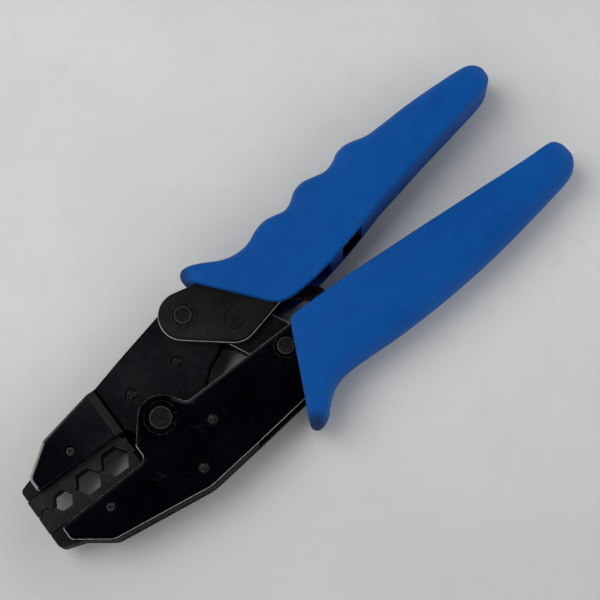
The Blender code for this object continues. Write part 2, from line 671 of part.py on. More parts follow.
# ---------------------------------------------------------------- moving jaw
JOGGLE = 2.8             # inward step of the jaw plates behind the dies
JOGGLE_X0, JOGGLE_X1 = -15.5, -12.6
JAW_CORE_X0 = -52.8      # front end of the upper jaw core
JAW_LOBE_R = 8.0         # jaw plates round the main pivot
JAW_REAR_LOBE_R = 7.45   # jaw plates round the handle pivot
SPACER_LOBE_R = 7.6      # rear spacer round the main pivot
JAW_HANDLE_HOLE_R = 3.9  # play for the handle pin in the jaw
JAW_RIVET_HOLE_R = 2.1
SPACER_Z = 0.7           # half thickness of the jaw rear spacer


def joggle(bm):
    """Step a jaw plate towards the mid plane; the jaw axis lies on the origin."""
    for x in (JOGGLE_X0, JOGGLE_X1):
        bmesh.ops.bisect_plane(bm, geom=bm.verts[:] + bm.edges[:] + bm.faces[:], dist=1e-7,
                               plane_co=(x * MM, 0, 0), plane_no=(1, 0, 0))
    for v in bm.verts:
        x, z = v.co.x / MM, v.co.z / MM - MID_Z
        t = min(1.0, max(0.0, (x - JOGGLE_X0) / (JOGGLE_X1 - JOGGLE_X0)))
        v.co.z = (z - math.copysign(JOGGLE * t, z) + MID_Z) * MM
    bmesh.ops.triangulate(bm, faces=[f for f in bm.faces if len(f.verts) > 4])


def jaw_rivet_holes():
    return [circle(at, JAW_RIVET_HOLE_R, 14) for at in (JAW_FRONT_RIVET, JAW_REAR_RIVET)]


def jaw_plates():
    outline = path([
        (-47.9, 4.95, 1.2), (-11.9, 4.8, 0.6), (-8.3, -0.2, 1.0),
        arc(MAIN_PIVOT, JAW_LOBE_R, 200.0, 302.0),
        (17.1, -1.0, 1.2), (24.1, 5.1, 2.0), (31.0, 8.2, 2.0), (31.0, 14.0, 4.0),
        arc(HANDLE_PIVOT, JAW_REAR_LOBE_R, -20.0, 102.7),
        (0.0, 25.9, 0), (-11.5, 23.0, 4.0), (-36.8, 18.3, 3.0), (-47.9, 10.4, 1.5),
    ])
    holes = [
        bore(MAIN_PIVOT, MAIN_PIN_R, 28), circle(HANDLE_PIVOT, JAW_HANDLE_HOLE_R),
        *jaw_rivet_holes(), circle((SCREW_X, UPPER_SCREW_Y), PLATE_SCREW_HOLE_R, 14),
    ]
    plate_pair("jaw_plate", outline, holes, "jaw_axis", bend=joggle)


def upper_jaw_core():
    """Core between the jaw plates, with a seat and a tongue pocket for the upper die."""
    seat = DIE_TOP + GAP
    pocket = UPPER_TONGUE_END + GAP
    outline = path([
        (JAW_CORE_X0, seat, 0.4), (POCKET_X0, seat, 0.3), (POCKET_X0, pocket, 0.8),
        (POCKET_X1, pocket, 0.8), (POCKET_X1, seat, 0.3), (-16.0, seat, 0.5),
        (-16.0, 22.0, 0.5), (-36.7, 18.1, 3.0), (-47.4, 10.9, 2.0), (JAW_CORE_X0, 9.3, 1.8),
    ])
    prism("upper_jaw_core", outline, -CORE_Z, CORE_Z, parent="jaw_axis", edge=(0.0, CORE_EDGE))


def jaw_rear_spacer():
    outline = path([
        (-13.8, -2.4, 0.5), arc(MAIN_PIVOT, SPACER_LOBE_R, 200.0, 302.0), (15.6, -0.6, 1.5),
        (20.4, 5.0, 2.0), (19.0, 27.6, 2.0), (-13.8, 20.6, 1.5),
    ])
    prism("jaw_rear_spacer", outline, -SPACER_Z, SPACER_Z, STEEL,
          [bore(MAIN_PIVOT, MAIN_PIN_R, 28), *jaw_rivet_holes()], "jaw_axis")


def jaw_rivets():
    domed_rivet("jaw_front_rivet", JAW_FRONT_RIVET, CORE_Z, dome=0.45, parent="jaw_axis")
    domed_rivet("jaw_rear_rivet", JAW_REAR_RIVET, CORE_Z, dome=0.45, parent="jaw_axis")


# ---------------------------------------------------------------- toggle link
LINK_IN, LINK_OUT = 1.15, Z_IN - GAP  # inner and outer faces of the link plates
LINK_R = 8.2
SECTOR_Z = 0.85          # half thickness of the toothed sector
SECTOR_BACK_R = 7.6
TOOTH_CREST, TOOTH_ROOT = 11.5, 10.3
TOOTH_COUNT = 13
TOOTH_START, TOOTH_STEP = 3.5, 4.0    # degrees round the toggle pivot
TOOTH_LEAN = 0.75        # place of a crest within its step


def link_plates():
    axis = direction(TOGGLE_PIVOT, LINK_PIVOT)
    outline = (arc(TOGGLE_PIVOT, LINK_R, axis + 90, axis + 270)
               + arc(LINK_PIVOT, LINK_R, axis - 90, axis + 90))
    holes = [bore(TOGGLE_PIVOT, TOGGLE_PIN_R), bore(LINK_PIVOT, SMALL_PIN_R),
             bore(LINK_RIVET, LINK_RIVET_R, 12), bore(SPRING_POST, SPRING_POST_R, 12)]
    plate_pair("link_plate", outline, holes, "link_axis", LINK_IN, LINK_OUT, edge=0.0)


def ratchet_sector():
    def tooth_point(radius, steps):
        return polar(TOGGLE_PIVOT, radius, math.radians(TOOTH_START + steps * TOOTH_STEP))

    outline = []
    for k in range(TOOTH_COUNT):
        outline += [tooth_point(TOOTH_ROOT, k), tooth_point(TOOTH_CREST, k + TOOTH_LEAN)]
    outline.append(tooth_point(TOOTH_ROOT, TOOTH_COUNT))
    outline += arc(TOGGLE_PIVOT, SECTOR_BACK_R, 70.0, 205.0)
    outline += [(39.0, 4.0), (42.0, 2.6), (45.0, 3.0), (47.6, 6.4), (50.6, 10.6)]
    prism("ratchet_sector", outline, -SECTOR_Z, SECTOR_Z, STEEL,
          [bore(TOGGLE_PIVOT, TOGGLE_PIN_R), bore(LINK_RIVET, LINK_RIVET_R, 12)], "link_axis")


def link_pins():
    plain_pin("link_rivet", LINK_RIVET, LINK_OUT, LINK_RIVET_R, "link_axis")
    plain_pin("spring_post", SPRING_POST, LINK_OUT, SPRING_POST_R, "link_axis")


# ---------------------------------------------------------------- moving handle
HANDLE_EAR_R = 8.85      # ear round the handle pivot
TOGGLE_EAR_R = 8.6       # ear round the toggle pivot


def handle_plates():
    ears = direction(HANDLE_PIVOT, TOGGLE_PIVOT)
    outline = path([
        arc(HANDLE_PIVOT, HANDLE_EAR_R, 80.0, ears + 270.0),
        arc(TOGGLE_PIVOT, TOGGLE_EAR_R, ears - 90.0, -79.5),
        (58.0, 7.9, 6.0), (80.0, 11.3, 8.0), (TANG_END, 26.4, 2.0), (TANG_END, 34.0, 2.0),
        (100.0, 30.6, 10.0), (60.0, 27.8, 10.0), (47.0, 28.6, 10.0),
    ])
    holes = [
        bore(HANDLE_PIVOT, SMALL_PIN_R), bore(TOGGLE_PIVOT, TOGGLE_PIN_R),
        bore(PAWL_PIVOT, PAWL_PIN_R, 16), *handle_rivet_bores(MOVING_HANDLE_RIVETS),
        bore(PAWL_SPRING_POST, SPRING_POST_R, 12),
    ]
    plate_pair("handle_plate", outline, holes, "handle_axis")


def handle_spacer():
    outline = path([(90.0, 15.4, 1.5), (146.0, 27.4, 1.5), (146.0, 31.6, 1.5), (90.0, 27.6, 1.5)])
    prism("handle_spacer", outline, -CORE_Z, CORE_Z, STEEL,
          handle_rivet_bores(MOVING_HANDLE_RIVETS), "handle_axis")


def handle_link_pin():
    chamfer = 0.2
    end_r, side_z = TOGGLE_PIN_R - chamfer, Z_OUT - chamfer
    lathe("handle_link_pin", TOGGLE_PIVOT, [
        (0, -Z_OUT), (end_r, -Z_OUT), (TOGGLE_PIN_R, -side_z),
        (TOGGLE_PIN_R, side_z), (end_r, Z_OUT), (0, Z_OUT),
    ], "handle_axis")


# ---------------------------------------------------------------- ratchet pawl
PAWL_Z = 1.5             # half thickness of the pawl
PAWL_HUB_R = 3.4


def ratchet_pawl():
    """Pawl with its release tail."""
    outline = path([
        (52.45, 12.2, 0.2), (54.6, 10.7, 0.8), arc(PAWL_PIVOT, PAWL_HUB_R, 235.0, 262.0),
        (61.0, 7.6, 2.0), (66.8, 2.7, 0.5), (72.6, 2.6, 0.5), (71.2, 5.6, 1.0),
        (65.0, 10.4, 3.0), arc(PAWL_PIVOT, PAWL_HUB_R, 10.0, 120.0), (52.45, 13.5, 0.2),
    ])
    prism("ratchet_pawl", outline, -PAWL_Z, PAWL_Z, STEEL,
          [bore(PAWL_PIVOT, PAWL_PIN_R, 16)], "pawl_axis")


def pawl_pins():
    plain_pin("pawl_pin", PAWL_PIVOT, Z_OUT, PAWL_PIN_R, "handle_axis", segments=16)
    plain_pin("pawl_spring_post", PAWL_SPRING_POST, Z_OUT, SPRING_POST_R, "handle_axis")


def torsion_spring_points(centre, radius, z0, pitch, turns, start_deg, leg_in, leg_out):
    """Coil round a pin with one leg at each end, wound upwards."""
    n = int(turns * 14)
    coil = [Vector((*polar(centre, radius, math.radians(start_deg + turns * 360.0 * k / n)),
                    z0 + pitch * turns * k / n)) for k in range(n + 1)]
    start, end = math.radians(start_deg), math.radians(start_deg + turns * 360.0)
    back = Vector((math.sin(start), -math.cos(start), 0))
    onward = Vector((-math.sin(end), math.cos(end), 0))
    head = [coil[0] + back * (leg_in * k / 2) for k in (2, 1)]
    tail = [coil[-1] + onward * (leg_out * k / 2) for k in (1, 2)]
    return head + coil + tail


def pawl_spring():
    points = torsion_spring_points(PAWL_PIVOT, radius=2.3, z0=2.15, pitch=0.62, turns=1.55,
                                   start_deg=100.0, leg_in=4.6, leg_out=5.2)
    sweep("pawl_spring", points, wire_r=0.28, parent="handle_axis")


# ---------------------------------------------------------------- assembly
clear()
joint("jaw_axis", MAIN_PIVOT)
joint("link_axis", LINK_PIVOT)
joint("handle_axis", TOGGLE_PIVOT, "link_axis")
joint("pawl_axis", PAWL_PIVOT, "handle_axis")

fixed_plates()
fixed_jaw_core()
fixed_handle_spacer()
fixed_rivets()
ringed_pin("main_pivot_pin", "main_pivot_ring", MAIN_PIVOT, **MAIN_PIN)
ringed_pin("link_pivot_pin", "link_pivot_ring", LINK_PIVOT, **SMALL_PIN)
lower_die()
die_screw("lower_die_screw", (SCREW_X, LOWER_SCREW_Y))
return_spring()
fixed_grip()

jaw_plates()
upper_jaw_core()
jaw_rear_spacer()
jaw_rivets()
upper_die()
die_screw("upper_die_screw", (SCREW_X, UPPER_SCREW_Y), "jaw_axis")

link_plates()
ratchet_sector()
link_pins()

handle_plates()
handle_spacer()
handle_rivets("handle_rivet", MOVING_HANDLE_RIVETS, "handle_axis")
ringed_pin("jaw_handle_pin", "jaw_pin_ring", HANDLE_PIVOT, "handle_axis", **SMALL_PIN)
handle_link_pin()
moving_grip()

ratchet_pawl()
pawl_pins()
pawl_spring()
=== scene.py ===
"""Looks of a ratchet crimping tool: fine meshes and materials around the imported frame.

The tool lies flat: jaws and dies towards -x, the two grips towards +x, the fixed frame on the -y
side and the moving jaw and handle on the +y side.  Outlines are millimetres in plan, heights are
millimetres from the tool's mid plane.  Pivots, pins, screws and plate heights are read from the
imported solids.  In piece names upper and lower plates are +z and -z, upper and lower dies and
grips are +y and -y.
"""
import json
import math

import bmesh
import bpy
from mathutils import Matrix, Vector
from mathutils.geometry import tessellate_polygon

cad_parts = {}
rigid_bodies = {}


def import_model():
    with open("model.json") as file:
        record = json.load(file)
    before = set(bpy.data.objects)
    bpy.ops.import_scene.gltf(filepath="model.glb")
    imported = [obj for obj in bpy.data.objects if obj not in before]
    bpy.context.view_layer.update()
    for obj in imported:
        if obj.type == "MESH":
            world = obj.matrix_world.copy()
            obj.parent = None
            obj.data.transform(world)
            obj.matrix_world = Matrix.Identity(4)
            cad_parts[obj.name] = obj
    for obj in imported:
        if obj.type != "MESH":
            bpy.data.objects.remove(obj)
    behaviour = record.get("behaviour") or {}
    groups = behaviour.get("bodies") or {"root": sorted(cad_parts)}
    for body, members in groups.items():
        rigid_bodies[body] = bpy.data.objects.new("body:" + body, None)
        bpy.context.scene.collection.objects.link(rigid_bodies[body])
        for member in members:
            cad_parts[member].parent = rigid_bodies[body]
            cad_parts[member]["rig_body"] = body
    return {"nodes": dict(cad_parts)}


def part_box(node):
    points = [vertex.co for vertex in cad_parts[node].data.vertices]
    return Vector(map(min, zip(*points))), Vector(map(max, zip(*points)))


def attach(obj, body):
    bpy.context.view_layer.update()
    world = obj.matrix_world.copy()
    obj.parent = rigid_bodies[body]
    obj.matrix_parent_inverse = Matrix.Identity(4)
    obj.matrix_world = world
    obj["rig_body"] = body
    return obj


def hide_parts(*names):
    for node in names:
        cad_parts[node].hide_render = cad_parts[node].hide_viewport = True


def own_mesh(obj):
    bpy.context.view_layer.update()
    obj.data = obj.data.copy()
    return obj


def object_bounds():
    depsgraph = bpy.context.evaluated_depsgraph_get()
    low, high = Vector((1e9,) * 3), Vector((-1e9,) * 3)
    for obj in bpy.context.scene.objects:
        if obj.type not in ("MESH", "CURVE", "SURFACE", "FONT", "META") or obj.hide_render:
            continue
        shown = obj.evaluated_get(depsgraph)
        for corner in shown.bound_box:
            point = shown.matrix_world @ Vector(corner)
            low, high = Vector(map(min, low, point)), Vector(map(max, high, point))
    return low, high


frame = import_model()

CAD_BOX = [[float(c) for c in p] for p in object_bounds()]
MM = 0.001
ARC_STEP = 4.0          # degrees between points of an arc
MID = (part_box("fixed_plate_top")[1].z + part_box("fixed_plate_bottom")[0].z) / 2 / MM


# ---------------------------------------------------------------- places read from the frame
def centre(node):
    lo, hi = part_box(node)
    return ((lo.x + hi.x) / 2 / MM, (lo.y + hi.y) / 2 / MM)


def levels(node):
    lo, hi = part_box(node)
    return lo.z / MM - MID, hi.z / MM - MID


PIVOT = centre("main_pivot_pin")
JAW_PIN = centre("jaw_handle_pin")
TOGGLE = centre("handle_link_pin")
LINK_PIN = centre("link_pivot_pin")
PAWL_PIN = centre("pawl_pin")
FRAME_RIVETS = [centre("frame_rear_rivet"), centre("frame_front_rivet")]
JAW_RIVETS = [centre("jaw_front_rivet"), centre("jaw_rear_rivet")]
FRAME_TANG_RIVETS = [centre("fixed_handle_rivet_front"), centre("fixed_handle_rivet_rear")]
HANDLE_TANG_RIVETS = [centre("handle_rivet_front"), centre("handle_rivet_rear")]
UPPER_SCREW, LOWER_SCREW = centre("upper_die_screw"), centre("lower_die_screw")
POST, ANCHOR = centre("spring_post"), centre("spring_anchor_pin")
LINK_RIVET, PAWL_POST = centre("link_rivet"), centre("pawl_spring_post")
PLATE_IN, PLATE_OUT = levels("fixed_plate_top")
CORE_Z = levels("fixed_jaw_core")[1]
LINK_IN, LINK_OUT = levels("link_plate_top")
SECTOR_Z = levels("ratchet_sector")[1]
SPACER_Z = levels("jaw_rear_spacer")[1]
PAWL_Z = levels("ratchet_pawl")[1]
GRIP_Z = levels("moving_grip")[1]
DIE_X0, DIE_X1 = [p.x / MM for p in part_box("lower_die")]
JAW_CORE_X0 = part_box("upper_jaw_core")[0].x / MM
CAVITY_Z = PLATE_OUT + 0.3      # grip cavity, clear of the plates
TANG_END = 150.0

# radii of the holes
PIVOT_HOLE = 4.2
LINK_HOLE = 3.3
TOGGLE_HOLE = 3.6
PAWL_HOLE = 1.8
TANG_HOLE = 2.0
FRAME_RIVET_HOLE = 2.05
JAW_HOLE = 2.1          # rivets and die screws
LINK_RIVET_HOLE = 1.4
POST_HOLE = 1.2


# ---------------------------------------------------------------- plane curves
def arc(centre_at, radius, start, end):
    cx, cy = centre_at
    n = max(2, int(math.ceil(abs(end - start) / ARC_STEP)))
    return [(cx + radius * math.cos(math.radians(start + (end - start) * i / n)),
             cy + radius * math.sin(math.radians(start + (end - start) * i / n)))
            for i in range(n + 1)]


def fillet(before, corner, after, radius, step=6.0):
    back = Vector((before[0] - corner[0], before[1] - corner[1])).normalized()
    ahead = Vector((after[0] - corner[0], after[1] - corner[1])).normalized()
    angle = back.angle(ahead)
    if radius <= 0 or math.pi - angle < 0.01:
        return [(corner[0], corner[1])]
    length = radius / math.tan(angle / 2)
    mid = Vector(corner[:2]) + (back + ahead).normalized() * (radius / math.sin(angle / 2))
    start = Vector(corner[:2]) + back * length - mid
    end = Vector(corner[:2]) + ahead * length - mid
    first = math.atan2(start.y, start.x)
    turn = math.atan2(start.x * end.y - start.y * end.x, start.dot(end))
    n = max(2, int(math.ceil(math.degrees(abs(turn)) / step)))
    return [(mid.x + radius * math.cos(first + turn * i / n),
             mid.y + radius * math.sin(first + turn * i / n)) for i in range(n + 1)]


def path(items):
    """Closed outline from corners (x, y, radius) and ready-made lists of points."""
    points = []
    for i, item in enumerate(items):
        if isinstance(item, list):
            points += item
            continue
        before, after = items[i - 1], items[(i + 1) % len(items)]
        points += fillet(before[-1] if isinstance(before, list) else before, item,
                         after[0] if isinstance(after, list) else after, item[2])
    clean = []
    for p in points:
        if not clean or math.dist(p, clean[-1]) > 0.012:
            clean.append(p)
    if math.dist(clean[0], clean[-1]) < 0.012:
        clean.pop()
    return clean


def area(loop):
    """Signed area, positive when the loop runs anticlockwise."""
    return 0.5 * sum(loop[i - 1][0] * p[1] - p[0] * loop[i - 1][1] for i, p in enumerate(loop))


def circle(centre_at, radius, n=64):
    return [(centre_at[0] + radius * math.cos(2 * math.pi * i / n),
             centre_at[1] + radius * math.sin(2 * math.pi * i / n)) for i in range(n)]


def tangent_angle(point, centre_at, radius):
    """Clockwise of the two places where a tangent from the point meets the circle, in degrees."""
    x, y = point[0] - centre_at[0], point[1] - centre_at[1]
    return math.degrees(math.atan2(y, x) - math.acos(radius / math.dist(point, centre_at)))


def offset(loop, distance):
    """Outline moved to its left; points that would cross over are gathered together."""
    if abs(distance) < 1e-9:
        return list(loop)
    n, moved = len(loop), []
    for i in range(n):
        before, here, after = Vector(loop[i - 1]), Vector(loop[i]), Vector(loop[(i + 1) % n])
        edge0, edge1 = (here - before).normalized(), (after - here).normalized()
        left0, left1 = Vector((-edge0.y, edge0.x)), Vector((-edge1.y, edge1.x))
        moved.append(here + (left0 + left1) * (distance / max(1.0 + left0.dot(left1), 0.35)))
    for _ in range(12):
        folded = False
        for i in range(n):
            j = (i + 1) % n
            edge = Vector(loop[j]) - Vector(loop[i])
            if edge.dot(moved[j] - moved[i]) < -1e-9:
                mid = (moved[i] + moved[j]) / 2
                moved[i], moved[j] = mid.copy(), mid.copy()
                folded = True
        if not folded:
            break
    return [tuple(p) for p in moved]


# ---------------------------------------------------------------- joggle of the jaw plates
JOG_X0, JOG_X1 = -15.5, -12.6
JOG_DEPTH = 2.8
JOG_BEND = 0.16         # half length of each bend, as a share of the step
JOG_CUTS = [JOG_X0 + (JOG_X1 - JOG_X0) * t for t in (
    -0.26, -0.17, -0.1, 0.0, 0.1, 0.17, 0.5, 0.80, 0.9, 1.0, 1.1, 1.17, 1.32)]


def jog_share(x):
    return (x - JOG_X0) / (JOG_X1 - JOG_X0)


def joggle(x, z):
    """Step of the jaw plates towards the mid plane on the +x side of the dies."""
    t, bend = jog_share(x), JOG_BEND
    if t < -bend:
        depth = 0.0
    elif t < bend:
        depth = (t + bend) ** 2 / (4 * bend)
    elif t < 1 - bend:
        depth = t
    elif t < 1 + bend:
        depth = 1 - (1 + bend - t) ** 2 / (4 * bend)
    else:
        depth = 1.0
    return z - math.copysign(JOG_DEPTH * depth, z)


def shade(mesh, sharp):
    mesh.shade_smooth()
    mesh.set_sharp_from_angle(angle=math.radians(sharp))


def place(name, bm, look, node, at=None, sharp=28.0):
    """Make the object for a finished mesh and let it stand for its CAD node.

    With at other than (0, 0) the object has its origin there, on the mid plane.
    """
    mesh = bpy.data.meshes.new(name)
    at = at or (0.0, 0.0)
    own_origin = at != (0.0, 0.0)
    lift = 0 if own_origin else MID
    for v in bm.verts:
        v.co = Vector(((v.co.x - at[0]) * MM, (v.co.y - at[1]) * MM, (v.co.z + lift) * MM))
    bmesh.ops.recalc_face_normals(bm, faces=bm.faces)
    bm.to_mesh(mesh)
    bm.free()
    ob = bpy.data.objects.new(name, mesh)
    bpy.context.scene.collection.objects.link(ob)
    if own_origin:
        ob.location = (at[0] * MM, at[1] * MM, MID * MM)
    if look is not None:
        mesh.materials.append(look)
    shade(mesh, sharp)
    if node:
        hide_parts(node)
        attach(ob, frame["nodes"][node]["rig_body"])
    return ob


def bridge(bm, row0, row1):
    """Faces between two closed rows of equally many vertices."""
    n = len(row0)
    for i in range(n):
        j = (i + 1) % n
        bm.faces.new((row0[i], row0[j], row1[j], row1[i]))


def rolled(radius, seg, margin, wear):
    """(inset, depth below the face, wear) from the wall up to the flat of a rounded edge."""
    if radius <= 0:
        return [(0.0, 0.0, 0.0)]
    rows = [(0.0, radius + 0.3, 0.0)] if wear else []
    for k in range(seg + 1):
        a = math.pi / 2 * k / seg
        rub = wear * (0.55 + 0.45 * math.sin(2 * a) if 0 < k < seg else 0.55)
        rows.append((radius * (1 - math.cos(a)), radius * (1 - math.sin(a)), rub))
    rows.append((radius + margin, 0.0, 0.0))
    return rows


def prism(name, node, outline, z0, z1, look, holes=(), edge=(0.12, 0.12), hole_edge=(0.12, 0.12),
          wear=(1.0, 1.0), stepped=False, at=None, margin=0.16, seg=4, rubbed=None, painted_shoulder_light=None,
          reach=1.15):
    """Flat piece with holes and rolled edges; edge, hole_edge and wear are (low z, high z).

    rubbed gives the share of wear, and the argument after it the share of painted light and
    shade on the shoulder, both from (x, y) and the outward normal; stepped gives the piece the
    joggle of the jaw plates and marks its slope and foot for painted reflection and painted shadow.
    """
    loops = [list(outline)] + [list(h) for h in holes]
    if area(loops[0]) < 0:
        loops[0].reverse()
    for hole in loops[1:]:
        if area(hole) > 0:
            hole.reverse()
    bm = bmesh.new()
    wear_layer = bm.verts.layers.float.new("wear")
    band_layer = bm.verts.layers.float.new("band")
    shoulder_light_layer = bm.verts.layers.float.new("painted_shoulder_light")
    tops, bottoms = [], []
    for index, loop in enumerate(loops):
        outer = index == 0
        (low_r, high_r), segs, rub = (edge, seg, 1.0) if outer else (hole_edge, 3, 0.5)
        share, tinted = [1.0] * len(loop), [0.0] * len(loop)
        if outer:
            for i, (x, y) in enumerate(loop):
                along = Vector(loop[(i + 1) % len(loop)]) - Vector(loop[i - 1])
                along.normalize()
                share[i] = rubbed(x, y, along.y, -along.x) if rubbed else 1.0
                tinted[i] = painted_shoulder_light(x, y, along.y, -along.x) if painted_shoulder_light else 0.0
        low = [(i, z0 + d, w) for i, d, w in rolled(low_r, segs, margin, wear[0] * rub)]
        high = [(i, z1 - d, w) for i, d, w in rolled(high_r, segs, margin, wear[1] * rub)]
        if painted_shoulder_light and outer:
            high.append((high_r + reach, z1, 0.0))
        rows = []
        for inset, z, worn in low[::-1] + high:
            row = []
            # shoulder band inside the rolled edge, which takes the painted light and shade
            shoulder = high_r * 0.3 < inset < high_r + reach - 0.1 and z > z1 - high_r
            for (x, y), part, tint in zip(offset(loop, inset), share, tinted):
                v = bm.verts.new((x, y, z))
                v[wear_layer] = worn * part
                v[shoulder_light_layer] = tint if shoulder else 0.0
                row.append(v)
            rows.append(row)
        for row0, row1 in zip(rows, rows[1:]):
            bridge(bm, row0, row1)
        bottoms.append(rows[0])
        tops.append(rows[-1])
    for rows, flip in ((tops, False), (bottoms, True)):
        flat = [v for row in rows for v in row]
        plan = [[Vector((v.co.x, v.co.y, 0)) for v in row] for row in rows]
        for triangle in tessellate_polygon(plan):
            corners = [flat[i] for i in triangle]
            if len(set(corners)) < 3:
                continue
            try:
                bm.faces.new(corners[::-1] if flip else corners)
            except ValueError:      # the tessellation gave the same triangle twice
                pass
    bmesh.ops.remove_doubles(bm, verts=bm.verts, dist=2e-4)
    bmesh.ops.dissolve_degenerate(bm, edges=bm.edges, dist=1e-4)
    if stepped:
        for x in JOG_CUTS:
            bmesh.ops.bisect_plane(bm, geom=bm.verts[:] + bm.edges[:] + bm.faces[:], dist=1e-5,
                                   plane_co=(x, 0, 0), plane_no=(1, 0, 0))
        # band: 1 on the slope, for a painted reflection, and -1 at its foot, for a painted shadow
        for v in bm.verts:
            t = jog_share(v.co.x)
            v[band_layer] = 1.0 if -0.12 < t < 0.85 else -1.0 if 0.88 < t < 1.18 else 0.0
            v.co.z = joggle(v.co.x, v.co.z)
    return place(name, bm, look, node, at)


def turned(name, node, profile, look, n=96, wear=1.0):
    """Round piece on a vertical axis from corners (radius, z, fillet radius), bottom to top."""
    axis = centre(node)
    points = []
    for i, corner in enumerate(profile):
        rounding = corner[2] if len(corner) > 2 else 0.0
        if rounding:
            curve = fillet(profile[i - 1], corner[:2], profile[i + 1], rounding, step=18.0)
            points += [(x, y, wear) for x, y in curve]
        else:
            points.append((corner[0], corner[1], 0.0))
    fine = []
    for i, p in enumerate(points):          # extra points keep the wear close to the edges
        q = points[i - 1]
        length = math.dist(p[:2], q[:2])
        if i and length > 0.7 and (p[2] or q[2]):
            for t in sorted({min(0.25 / length, 0.45), max(1 - 0.25 / length, 0.55)}):
                fine.append((q[0] + (p[0] - q[0]) * t, q[1] + (p[1] - q[1]) * t, 0.0))
        fine.append(p)
    bm = bmesh.new()
    wear_layer = bm.verts.layers.float.new("wear")
    rows = []
    for radius, z, worn in fine:
        row = []
        for i in range(1 if radius < 1e-6 else n):
            a = 2 * math.pi * i / n
            v = bm.verts.new((axis[0] + radius * math.cos(a), axis[1] + radius * math.sin(a), z))
            v[wear_layer] = worn
            row.append(v)
        rows.append(row)
    for row0, row1 in zip(rows, rows[1:]):
        if len(row0) == 1:
            for i in range(n):
                bm.faces.new((row0[0], row1[(i + 1) % n], row1[i]))
        elif len(row1) == 1:
            for i in range(n):
                bm.faces.new((row0[i], row0[(i + 1) % n], row1[0]))
        else:
            bridge(bm, row0, row1)
    # place() takes (0, 0) as no origin of its own
    return place(name, bm, look, node, axis if axis != (0.0, 0.0) else (1e-9, 0.0))


def cut(ob, outline, z0, z1):
    """Take a straight-walled prism out of a piece and set its shading again."""
    tool = prism("cutter", None, outline, z0, z1, None, edge=(0, 0), hole_edge=(0, 0))
    mod = ob.modifiers.new("cut", "BOOLEAN")
    mod.operation, mod.solver, mod.object = "DIFFERENCE", "EXACT", tool
    graph = bpy.context.evaluated_depsgraph_get()
    mesh = bpy.data.meshes.new_from_object(ob.evaluated_get(graph))
    ob.modifiers.clear()
    old, ob.data = ob.data, mesh
    bpy.data.meshes.remove(old)
    shade(mesh, 30.0)
    bpy.data.objects.remove(tool, do_unlink=True)


def sweep(name, node, points, radius, look, n=10):
    """Round wire along a line of points."""
    points = [Vector(p) for p in points]
    last = len(points) - 1
    runs = [(points[min(i + 1, last)] - points[max(i - 1, 0)]).normalized()
            for i in range(last + 1)]
    side = runs[0].orthogonal().normalized()
    bm = bmesh.new()
    rings = []
    for p, run in zip(points, runs):
        side = (side - run * side.dot(run)).normalized()
        across = run.cross(side)
        angles = [2 * math.pi * k / n for k in range(n)]
        rings.append([bm.verts.new(p + side * (radius * math.cos(a))
                                   + across * (radius * math.sin(a))) for a in angles])
    for ring0, ring1 in zip(rings, rings[1:]):
        bridge(bm, ring0, ring1)
    bm.faces.new(rings[0][::-1])
    bm.faces.new(rings[-1])
    return place(name, bm, look, node, sharp=50)


# ---------------------------------------------------------------- materials
def is_socket(value):
    return isinstance(value, bpy.types.NodeSocket)


def colour(value):
    """Socket as it is; a number is a grey, three numbers are a colour."""
    if is_socket(value):
        return value
    return (value, value, value, 1.0) if isinstance(value, float) else (*value, 1.0)


